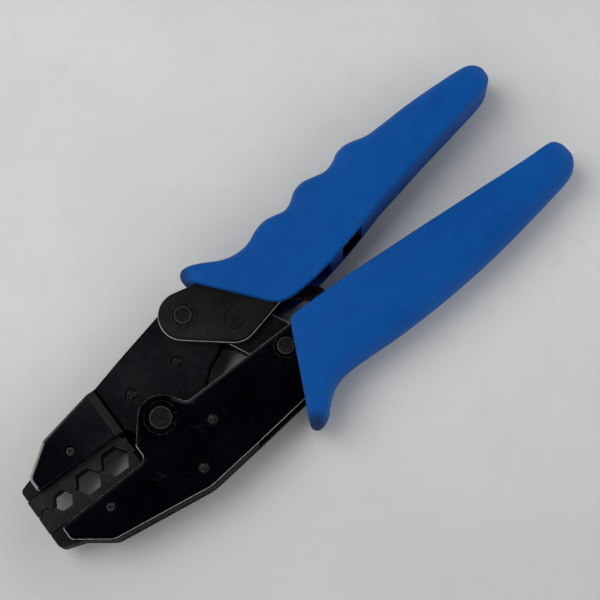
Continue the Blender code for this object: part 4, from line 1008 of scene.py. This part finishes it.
# ---------------------------------------------------------------- moving jaw
jaw_outline = path([        # corners x, y, radius
    (-47.9, 4.95, 1.2), (-11.9, 4.8, 0.6), (-8.3, -0.2, 1.0), arc(PIVOT, 8.0, 200.0, 302.0),
    (17.1, -1.0, 1.2), (24.1, 5.1, 2.0), (31.0, 8.2, 2.0), (31.0, 14.0, 4.0),
    arc(JAW_PIN, 7.45, -20.0, 102.7), (0.0, 25.9, 0), (-11.5, 23.0, 4.0), (-36.8, 18.3, 4.0),
    (-47.9, 10.4, 2.6),
])
jaw_rivet_holes = [circle(c, JAW_HOLE) for c in JAW_RIVETS]
jaw_holes = [circle(PIVOT, PIVOT_HOLE, 96), circle(JAW_PIN, 3.9), *jaw_rivet_holes,
             circle(UPPER_SCREW, JAW_HOLE)]
prism("jaw_plate_upper", "jaw_plate_top", jaw_outline, look=JAW_STEEL, holes=jaw_holes,
      stepped=True, rubbed=rub_jaw, painted_shoulder_light=tint_jaw, reach=0.75, **UPPER_PLATE)
prism("jaw_plate_lower", "jaw_plate_bottom", jaw_outline, look=JAW_STEEL, holes=jaw_holes,
      stepped=True, rubbed=rub_jaw, **LOWER_PLATE)
prism("jaw_core_block", "upper_jaw_core", path([
    (JAW_CORE_X0, 5.1, 0.4), (slot_x0, 5.1, 0.3), (slot_x0, 14.6, 0.8), (slot_x1, 14.6, 0.8),
    (slot_x1, 5.1, 0.3), (-16.0, 5.1, 0.5), (-16.0, 22.0, 0.5), (-36.7, 18.1, 3.0),
    (-47.4, 10.9, 2.0), (JAW_CORE_X0, 9.3, 1.8),
]), -CORE_Z, CORE_Z, CORE_STEEL, edge=(0.25, 0.28), wear=(0.8, 0.7), rubbed=handled)
# the web reaches forward to the dies and is near-black, as painted shade in the void there
prism("jaw_web", "jaw_rear_spacer", path([
    (-13.8, -2.4, 0.5), arc(PIVOT, 7.6, 200.0, 302.0), (15.6, -0.6, 1.5), (20.4, 5.0, 2.0),
    (19.0, 27.6, 2.0), (-13.8, 20.6, 1.5),
]), -SPACER_Z, SPACER_Z, INNER_STEEL_AND_SHADE, [circle(PIVOT, PIVOT_HOLE), *jaw_rivet_holes],
    edge=(0.08, 0.08), hole_edge=(0.06, 0.06))
domed_rivet("rivet_jaw_front", "jaw_front_rivet", CORE_Z, 0.45, 1, JAW_RIVET_STEEL)
domed_rivet("rivet_jaw_rear", "jaw_rear_rivet", CORE_Z, 0.45, 2, JAW_RIVET_STEEL)

# ---------------------------------------------------------------- toggle link and ratchet
link_angle = math.degrees(math.atan2(LINK_PIN[1] - TOGGLE[1], LINK_PIN[0] - TOGGLE[0]))
link_outline = (arc(TOGGLE, 8.2, link_angle + 90, link_angle + 270)
                + arc(LINK_PIN, 8.2, link_angle - 90, link_angle + 90))
sector_holes = [circle(TOGGLE, TOGGLE_HOLE), circle(LINK_RIVET, LINK_RIVET_HOLE, 40)]
link_holes = [sector_holes[0], circle(LINK_PIN, LINK_HOLE), sector_holes[1],
              circle(POST, POST_HOLE, 40)]
prism("link_upper", "link_plate_top", link_outline, LINK_IN, LINK_OUT, LINK_STEEL, link_holes,
      edge=(0.1, 0.25), wear=(0.6, 1.1))
prism("link_lower", "link_plate_bottom", link_outline, -LINK_OUT, -LINK_IN, LINK_STEEL,
      link_holes, edge=(0.25, 0.1), wear=(1.1, 0.6))

TEETH, TOOTH_PITCH, FIRST_TOOTH = 13, 4.0, 3.5      # pitch and first root in degrees
ROOT_R, TIP_R = 10.3, 11.5


def tooth_corner(radius, teeth_along, rounding):
    a = math.radians(FIRST_TOOTH + teeth_along * TOOTH_PITCH)
    return (TOGGLE[0] + radius * math.cos(a), TOGGLE[1] + radius * math.sin(a), rounding)


teeth = []
for k in range(TEETH):
    teeth += [tooth_corner(ROOT_R, k, 0.05), tooth_corner(TIP_R, k + 0.75, 0.07)]
teeth.append(tooth_corner(ROOT_R, TEETH, 0.1))
prism("ratchet_teeth", "ratchet_sector", path(teeth + [
    arc(TOGGLE, 7.6, 70.0, 205.0), (39.0, 4.0, 0.5), (42.0, 2.6, 0.8), (45.0, 3.0, 0.8),
    (47.6, 6.4, 1.0), (50.6, 10.6, 0.5),
]), -SECTOR_Z, SECTOR_Z, LINK_STEEL, sector_holes, edge=(0.05, 0.05), hole_edge=(0.05, 0.05),
    margin=0.05, seg=2)
plain_pin("rivet_link", "link_rivet", 1.1, LINK_OUT, 0.1)
plain_pin("post_link_spring", "spring_post", 0.9, LINK_OUT, 0.1)

# ---------------------------------------------------------------- moving handle
handle_angle = math.degrees(math.atan2(TOGGLE[1] - JAW_PIN[1], TOGGLE[0] - JAW_PIN[0]))
handle_outline = path([     # corners x, y, radius
    arc(JAW_PIN, 8.85, 80.0, handle_angle + 270.0), arc(TOGGLE, 8.6, handle_angle - 90.0, -79.5),
    (58.0, 7.9, 6.0), (80.0, 11.3, 8.0), (TANG_END, 26.4, 2.0), (TANG_END, 34.0, 2.0),
    (100.0, 30.6, 10.0), (60.0, 27.8, 10.0), (47.0, 28.6, 10.0),
])
handle_tang_holes = [circle(c, TANG_HOLE) for c in HANDLE_TANG_RIVETS]
pawl_hole = circle(PAWL_PIN, PAWL_HOLE, 48)
handle_holes = [circle(JAW_PIN, LINK_HOLE), circle(TOGGLE, TOGGLE_HOLE), pawl_hole,
                *handle_tang_holes, circle(PAWL_POST, POST_HOLE, 40)]
prism("handle_plate_upper", "handle_plate_top", handle_outline, look=HANDLE_STEEL,
      holes=handle_holes, rubbed=handled, painted_shoulder_light=tint_handle, reach=0.9, **UPPER_PLATE)
prism("handle_plate_lower", "handle_plate_bottom", handle_outline, look=HANDLE_STEEL,
      holes=handle_holes, rubbed=handled, **LOWER_PLATE)
prism("handle_tang_spacer", "handle_spacer",
      path([(90.0, 15.4, 1.5), (146.0, 27.4, 1.5), (146.0, 31.6, 1.5), (90.0, 27.6, 1.5)]),
      -CORE_Z, CORE_Z, INNER_STEEL_AND_SHADE, handle_tang_holes)
plain_pin("pivot_pin_pawl", "pawl_pin", 1.5, PLATE_OUT, 0.15, n=48)
plain_pin("post_pawl_spring", "pawl_spring_post", 0.9, PLATE_OUT, 0.1)
prism("pawl_lever", "ratchet_pawl", path([
    (52.45, 12.2, 0.2), (54.6, 10.7, 0.8), arc(PAWL_PIN, 3.4, 235.0, 262.0), (61.0, 7.6, 2.0),
    (66.8, 2.7, 0.5), (72.6, 2.6, 0.5), (71.2, 5.6, 1.0), (65.0, 10.4, 3.0),
    arc(PAWL_PIN, 3.4, 10.0, 120.0), (52.45, 13.5, 0.2),
]), -PAWL_Z, PAWL_Z, LINK_STEEL, [pawl_hole], edge=(0.15, 0.15), hole_edge=(0.08, 0.08),
    wear=(0.7, 0.7))


# ---------------------------------------------------------------- springs
def tension_spring(start, end, hook_r, coil_r, coil_from, coil_to, turns, per_turn=16):
    """Points of a coil between two posts with an open hook round each of them."""
    along = Vector((end[0] - start[0], end[1] - start[1], 0)).normalized()
    side, up = Vector((-along.y, along.x, 0)), Vector((0, 0, 1))
    start, end = Vector((*start, 0)), Vector((*end, 0))

    def hook(post, degrees):
        a = math.radians(degrees)
        return post + along * (hook_r * math.cos(a)) + side * (hook_r * math.sin(a))

    points = [hook(start, 158 + 142 * k / 19) for k in range(20)]
    last, first_coil = points[-1], start + along * coil_from
    points += [last + (first_coil - last) * (k / 9) for k in range(1, 9)]
    n = turns * per_turn
    for k in range(n + 1):
        a = 2 * math.pi * k / per_turn
        radius = coil_r * min(1.0, k / (per_turn * 0.5), (n - k) / (per_turn * 0.5))
        points.append(start + along * (coil_from + (coil_to - coil_from) * k / n)
                      + side * (radius * math.cos(a)) + up * (radius * math.sin(a)))
    end_hook = [hook(end, 240 - 240 * k / 19) for k in range(20)]
    for share in (0.35, 0.7):
        # the second share is taken from the same last coil point
        points.append(points[-1] if share < 0 else None)
    coil_end = points[-3]
    points[-2:] = [coil_end + (end_hook[0] - coil_end) * share for share in (0.35, 0.7)]
    return points + end_hook


spring = sweep("spring_return", "return_spring", tension_spring(
    POST, ANCHOR, hook_r=1.65, coil_r=2.1, coil_from=14.5, coil_to=34.5, turns=20),
    0.38, SPRING_WIRE)
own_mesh(spring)


def torsion_spring(axis, radius, z0, pitch, turns, start, leg_in, leg_out):
    """Points of an upright coil with a straight leg at each end; start in degrees."""
    n = int(turns * 40)
    angles = [math.radians(start + turns * 360.0 * k / n) for k in range(n + 1)]
    coil = [Vector((axis[0] + radius * math.cos(a), axis[1] + radius * math.sin(a),
                    z0 + pitch * turns * k / n)) for k, a in enumerate(angles)]
    first, last = angles[0], angles[-1]
    run_in = Vector((math.sin(first), -math.cos(first), 0))
    run_out = Vector((-math.sin(last), math.cos(last), 0))
    return ([coil[0] + run_in * (leg_in * k / 6) for k in range(6, 0, -1)] + coil
            + [coil[-1] + run_out * (leg_out * k / 6) for k in range(1, 7)])


sweep("spring_pawl", "pawl_spring", torsion_spring(
    PAWL_PIN, radius=2.3, z0=2.15, pitch=0.62, turns=1.55, start=100.0, leg_in=4.6, leg_out=5.2),
    0.27, SPRING_WIRE)


# ---------------------------------------------------------------- grips
ROUND_DEGREES = (0, 6, 12, 18, 24, 30, 36, 42, 48, 54, 60, 66, 72, 77, 81, 84.5, 87.2)


def section(outer, inner, height, inset, outer_round):
    """Closed section from the wall facing the other grip to the full round outer side."""
    outer, inner = Vector(outer), Vector(inner)
    width = max((outer - inner).length, 0.02)
    across = (outer - inner).normalized() if (outer - inner).length > 1e-6 else Vector((0, 1))
    small, big = min(1.1, 0.25 * width, 0.4 * height), min(outer_round, 0.42 * width)
    half = [(0.0, (height - small) * k / 5) for k in range(5)]
    half += [(small * (1 - math.cos(math.radians(a))),
              height - small + small * math.sin(math.radians(a))) for a in range(0, 91, 15)]
    flat = width - big - small
    half += [(small + flat * k / 8, height) for k in range(1, 8)]
    half += [(width - big + big * math.sin(math.radians(a)),
              height * max(0.0, math.cos(math.radians(a))) ** 0.80) for a in ROUND_DEGREES]
    seam = min(0.09, 0.02 * width)      # mould parting line
    half += [(width, 0.16), (width + seam, 0.10)]
    half = [(u, z * (1 - 0.018 * (2 * u / width - 1) ** 2)) for u, z in half]     # crown
    points = []
    for u, z in half + [(width + seam, 0.0)] + [(u, -z) for u, z in reversed(half[1:])]:
        u = inset + u * (width - 2 * inset) / width
        z = z * (height - inset) / height if height > inset else 0.0
        p = inner + across * u
        points.append((p.x, p.y, z))
    return points


def smooth_stations(stations, tip):
    """Catmull-Rom through the stations, ending in the tip."""
    knots = [list(s) for s in stations] + [[*tip, *tip, 0.02, 0.0]]
    knots = ([[2 * a - b for a, b in zip(knots[0], knots[1])]] + knots
             + [[2 * a - b for a, b in zip(knots[-1], knots[-2])]])
    smooth = []
    for k in range(len(knots) - 3):
        four = knots[k:k + 4]
        gap = max(math.dist(four[1][:2], four[2][:2]), math.dist(four[1][2:4], four[2][2:4]))
        n = max(4, int(math.ceil(gap / 1.1)))
        for j in range(n):
            t = j / n
            smooth.append([0.5 * (2 * b + (c - a) * t + (2 * a - 5 * b + 4 * c - d) * t * t
                                  + (3 * b - a - 3 * c + d) * t ** 3) for a, b, c, d in zip(*four)])
    for s in smooth:
        s[4] = min(s[4], GRIP_Z)
        s[5] = max(s[5], 0.0)
    return smooth


def grip(name, node, stations, tip, outer_round):
    lo, hi = (p.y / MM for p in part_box(node))
    bm = bmesh.new()
    rows = [[bm.verts.new((x, min(max(y, lo), hi), z))
             for x, y, z in section(s[:2], s[2:4], s[4], s[5], outer_round)]
            for s in smooth_stations(stations, tip)]
    for row0, row1 in zip(rows, rows[1:]):
        bridge(bm, row0, row1)
    bm.faces.new(rows[0][::-1])
    end, last = bm.verts.new((*tip, 0.0)), rows[-1]
    for i in range(len(last)):
        bm.faces.new((last[i], last[(i + 1) % len(last)], end))
    return place(name, bm, GRIP_BLUE, node, sharp=40)


# stations: outer x, y, inner x, y, half height, inset of the section
FULL = GRIP_Z
MOVING_STATIONS = [
    (34.9, 34.2, 54.2, 9.7, FULL, 0.9), (34.4, 35.4, 55.2, 8.7, FULL, 0.2),
    (34.8, 37.5, 56.4, 7.8, FULL, 0), (36.4, 38.8, 58.0, 7.1, FULL, 0),
    (39.5, 38.4, 60.4, 6.6, FULL, 0), (43.5, 36.5, 63.2, 6.4, FULL, 0),
    (48.0, 33.9, 66.5, 6.5, FULL, 0), (52.5, 32.3, 70.0, 6.8, FULL, 0),
    (57.5, 32.0, 73.5, 7.2, FULL, 0), (61.5, 32.8, 76.5, 7.7, FULL, 0),
    (65.5, 34.6, 79.3, 8.2, FULL, 0), (70.0, 35.6, 82.5, 8.8, FULL, 0),
    (74.0, 35.0, 85.5, 9.4, FULL, 0), (78.0, 34.2, 88.3, 10.0, FULL, 0),
    (81.6, 35.4, 91.0, 10.6, FULL, 0), (85.3, 37.9, 93.7, 11.3, FULL, 0),
    (89.3, 38.8, 96.7, 12.1, FULL, 0), (93.5, 38.0, 99.8, 13.0, FULL, 0),
    (98.0, 37.1, 103.2, 13.9, FULL, 0), (102.0, 37.9, 106.2, 14.7, FULL, 0),
    (106.0, 40.0, 109.2, 15.3, FULL, 0), (109.6, 40.6, 112.0, 15.9, FULL, 0),
    (113.3, 39.9, 115.2, 16.5, FULL, 0), (118.0, 38.7, 119.4, 17.3, FULL, 0),
    (125.0, 38.6, 126.0, 18.7, FULL, 0), (133.0, 38.9, 133.6, 20.1, FULL, 0),
    (142.0, 38.9, 142.4, 21.6, FULL, 0), (151.0, 38.5, 151.2, 23.2, 9.4, 0),
    (158.0, 38.1, 158.2, 24.5, 9.2, 0), (162.3, 37.5, 162.3, 25.6, 8.6, 0),
    (165.0, 36.1, 164.8, 27.0, 7.2, 0), (166.8, 33.9, 166.6, 29.1, 4.6, 0),
]
FIXED_STATIONS = [
    (39.8, -31.2, 54.7, -1.3, FULL, 0.9), (39.2, -32.4, 55.5, -0.2, FULL, 0.2),
    (39.6, -34.1, 56.6, 0.6, FULL, 0), (41.0, -35.2, 58.2, 0.9, FULL, 0),
    (43.4, -35.0, 60.2, 1.0, FULL, 0), (46.2, -33.6, 62.6, 1.0, FULL, 0),
    (49.0, -30.9, 65.0, 0.9, FULL, 0), (52.0, -28.4, 67.5, 0.9, FULL, 0),
    (55.2, -26.6, 70.2, 0.85, FULL, 0), (58.8, -25.6, 73.2, 0.8, FULL, 0),
    (63.5, -25.25, 77.0, 0.7, FULL, 0), (71.0, -25.5, 83.0, 0.45, FULL, 0),
    (81.0, -26.0, 90.5, 0.0, FULL, 0), (92.0, -26.1, 99.0, -0.5, FULL, 0),
    (103.0, -25.85, 108.0, -1.05, FULL, 0), (114.0, -25.2, 117.2, -1.65, FULL, 0),
    (125.0, -24.25, 127.0, -2.35, FULL, 0), (136.0, -22.9, 137.2, -3.05, FULL, 0),
    (147.0, -21.25, 147.6, -3.85, 9.5, 0), (157.0, -19.6, 157.3, -4.4, 9.3, 0),
    (163.5, -18.5, 163.6, -4.5, 8.9, 0), (167.6, -17.2, 167.6, -4.8, 8.0, 0),
    (170.2, -15.0, 170.0, -6.4, 6.2, 0), (171.5, -12.8, 171.4, -8.3, 3.6, 0),
]
CAVITY_END = TANG_END + 0.5

handle_grip = grip("grip_upper", "moving_grip", MOVING_STATIONS, (167.5, 31.4), outer_round=7.0)
cut(handle_grip, path([
    (30.0, 32.6, 0), (47.0, 29.1, 10.0), (60.0, 28.2, 10.0), (100.0, 31.0, 10.0),
    (CAVITY_END, 34.5, 2.0), (CAVITY_END, 26.0, 2.0), (80.0, 10.8, 8.0), (56.0, 6.8, 0),
    (30.0, 2.0, 0),
]), -CAVITY_Z, CAVITY_Z)
cut(handle_grip, [(40, 0), (79.5, 0), (79.5, 14), (40, 14)], -CAVITY_Z, CAVITY_Z)
# notch in the -y side; a near-black sheet on its floor is painted shade for the inside of the grip
cut(handle_grip, [(85.6, 4), (95.8, 6), (95.8, 15.2), (85.6, 13.2)], -8.3, 7.6)
prism("grip_upper_notch_shade_sheet", "moving_grip", path([
    (85.8, 9.9, 0.2), (90.0, 10.8, 3.0), (95.6, 12.25, 0.2), (95.6, 15.0, 0.2), (85.8, 13.0, 0.2),
]), -8.2, -7.7, INNER_STEEL_AND_SHADE, edge=(0.05, 0.05), wear=(0.0, 0.0))

frame_grip = grip("grip_lower", "fixed_grip", FIXED_STATIONS, (172.0, -10.5), outer_round=6.0)
cut(frame_grip, path([
    (34.0, 2.0, 0), (53.0, 0.3, 0), (60.0, -0.8, 0), (88.0, -1.5, 0), (CAVITY_END, -6.2, 2.0),
    (CAVITY_END, -16.0, 2.0), (75.0, -19.0, 12.0), (60.0, -23.4, 8.0), (34.0, -26.2, 0),
]), -CAVITY_Z, CAVITY_Z)
cut(frame_grip, [(45, -6), (60.8, -6), (60.8, 6), (45, 6)], -4.0, 4.0)
cut(frame_grip, circle(LINK_PIN, 5.0), -8.1, 8.1)


def line_distance(point, start, end):
    start, end, point = Vector(start), Vector(end), Vector(point)
    run = end - start
    t = max(0.0, min(1.0, (point - start).dot(run) / max(run.length_squared, 1e-9)))
    return (point - (start + run * t)).length


def soil(ob, marks, lines):
    """Grime at points (x, y, reach, amount) and along lines ((x, y), (x, y), reach, amount)."""
    values = []
    for v in ob.data.vertices:
        p = (v.co.x / MM, v.co.y / MM)
        near = [(math.dist(p, (x, y)), reach, amount) for x, y, reach, amount in marks]
        near += [(line_distance(p, start, end), reach, amount)
                 for start, end, reach, amount in lines]
        values.append(max(amount * math.exp(-(d / reach) ** 2) for d, reach, amount in near))
    ob.data.attributes.new("grime", "FLOAT", "POINT").data.foreach_set("value", values)


soil(handle_grip, [(34.5, 36.0, 5.0, 0.75), (166.5, 32.0, 5.0, 0.45)],
     [((34.9, 34.2), (55.0, 8.8), 0.9, 0.40), ((55.0, 8.8), (98.0, 13.0), 0.9, 0.45),
      ((98, 13), (163, 26), 0.7, 0.3)])
soil(frame_grip, [(40.3, -34.5, 6.0, 0.85), (171.0, -10.5, 6.0, 0.42)],
     [((39.6, -32.0), (55.0, -1.0), 1.0, 0.5), ((56, 0), (160, -4.5), 0.8, 0.32)])


# ---------------------------------------------------------------- floor
def floor_material():
    """Pale matt grey, mottled, with painted shade that makes it a little darker towards -x and -y,
    where the light falls off.
    """
    net = Net("floor")
    pos = net.coords()
    col = net.tint(net.ramp(net.noise(pos, scale=0.012, detail=4), low=0.35, high=0.65),
                   (0.565, 0.570, 0.560), (0.605, 0.608, 0.598))
    mottle = net.ramp(net.noise(pos, scale=0.10, detail=5, rough=0.62), low=0.52, high=0.72)
    col = net.tint(mottle, col, (0.50, 0.505, 0.495), amount=0.22)
    # painted shade: darker towards -x and -y
    down = net.put("VectorMath", {0: pos, 1: (-0.61, -0.79, 0.0)},
                   operation="DOT_PRODUCT").outputs["Value"]
    col = net.tint(net.ramp(down, low=-30.0, high=110.0, start=0.0, end=0.5), col,
                   (0.455, 0.460, 0.448))
    net.out(Base_Color=col, Roughness=0.6, Specular_IOR_Level=0.25,
            Normal=net.bump(net.noise(pos, scale=0.6, detail=4), strength=0.12, distance=0.05))
    return net.material


bm = bmesh.new()
bmesh.ops.create_grid(bm, x_segments=8, y_segments=8, size=1.6)
floor_mesh = bpy.data.meshes.new("floor")
bm.to_mesh(floor_mesh)
bm.free()
floor = bpy.data.objects.new("floor", floor_mesh)
floor.location = (0.06, 0.0, min(CAD_BOX[0][2], 0.0) - 0.00002)
floor_mesh.materials.append(floor_material())
bpy.context.scene.collection.objects.link(floor)

# ---------------------------------------------------------------- light
KEY_AT, KEY_TARGET = Vector((-0.45, 0.80, 1.50)), Vector((0.06, 0, 0))
key = bpy.data.lights.new("key", "AREA")
key.shape = "DISK"
key.size = 1.4
key.energy = 18.0
key.color = (1.0, 0.998, 0.985)
key_light = bpy.data.objects.new("key", key)
key_light.location = KEY_AT
key_light.rotation_euler = (KEY_TARGET - KEY_AT).to_track_quat("-Z", "Y").to_euler()
bpy.context.scene.collection.objects.link(key_light)

world = bpy.data.worlds.new("studio")
bpy.context.scene.world = world
world.use_nodes = True
sky_tree = world.node_tree


def sky(kind, inputs, **props):
    node = sky_tree.nodes.new("ShaderNode" + kind)
    for key_name, value in props.items():
        setattr(node, key_name, value)
    for index, value in inputs.items():
        if is_socket(value):
            sky_tree.links.new(value, node.inputs[index])
        else:
            node.inputs[index].default_value = value
    return node.outputs


def sky_math(op, *values):
    return sky("Math", dict(enumerate(values)), operation=op)[0]


# bright at the horizon, dark overhead
sky_x, sky_y, sky_z = sky("SeparateXYZ", {0: sky("TexCoord", {})["Generated"]})
height = sky("MapRange", {"Value": sky_z, "From Min": 0.40, "From Max": 0.86,
                          "To Min": 1.48, "To Max": 0.02}, interpolation_type="SMOOTHSTEP")[0]
# brighter towards -y, and towards both ends of the tool along x
side_y = sky_math("MULTIPLY_ADD", sky_y, -0.30, 1.0)
level = sky_math("SUBTRACT", 1.0, sky_math("MULTIPLY", sky_z, sky_z))
ends = sky_math("DIVIDE", sky_math("MULTIPLY", sky_x, sky_x), sky_math("MAXIMUM", level, 0.01))
sides = sky_math("ADD", side_y, sky_math("MULTIPLY_ADD", ends, 1.1, -0.55))
background = sky_tree.nodes["Background"]
sky_tree.links.new(sky_math("MULTIPLY", height, sides), background.inputs["Strength"])
background.inputs["Color"].default_value = (0.985, 0.992, 1.0, 1.0)

# ---------------------------------------------------------------- camera
lens = bpy.data.cameras.new("camera")
lens.lens = 93.3
lens.sensor_width = 36.0
lens.sensor_fit = "HORIZONTAL"
lens.clip_start = 0.01
lens.clip_end = 20.0
camera = bpy.data.objects.new("camera", lens)
right = Vector((0.79527686, -0.60509524, -0.03734261))
up = Vector((0.59383009, 0.76510742, 0.24895073))
back = Vector((-0.1220678, -0.22015992, 0.96779598))
eye = Vector((-0.003136, -0.114597, 0.527551 + MID * MM))
camera.matrix_world = Matrix((*zip(right, up, back, eye), (0, 0, 0, 1)))
bpy.context.scene.collection.objects.link(camera)
bpy.context.scene.camera = camera
bpy.context.scene.view_settings.view_transform = "Standard"
bpy.context.scene.view_settings.look = "None"
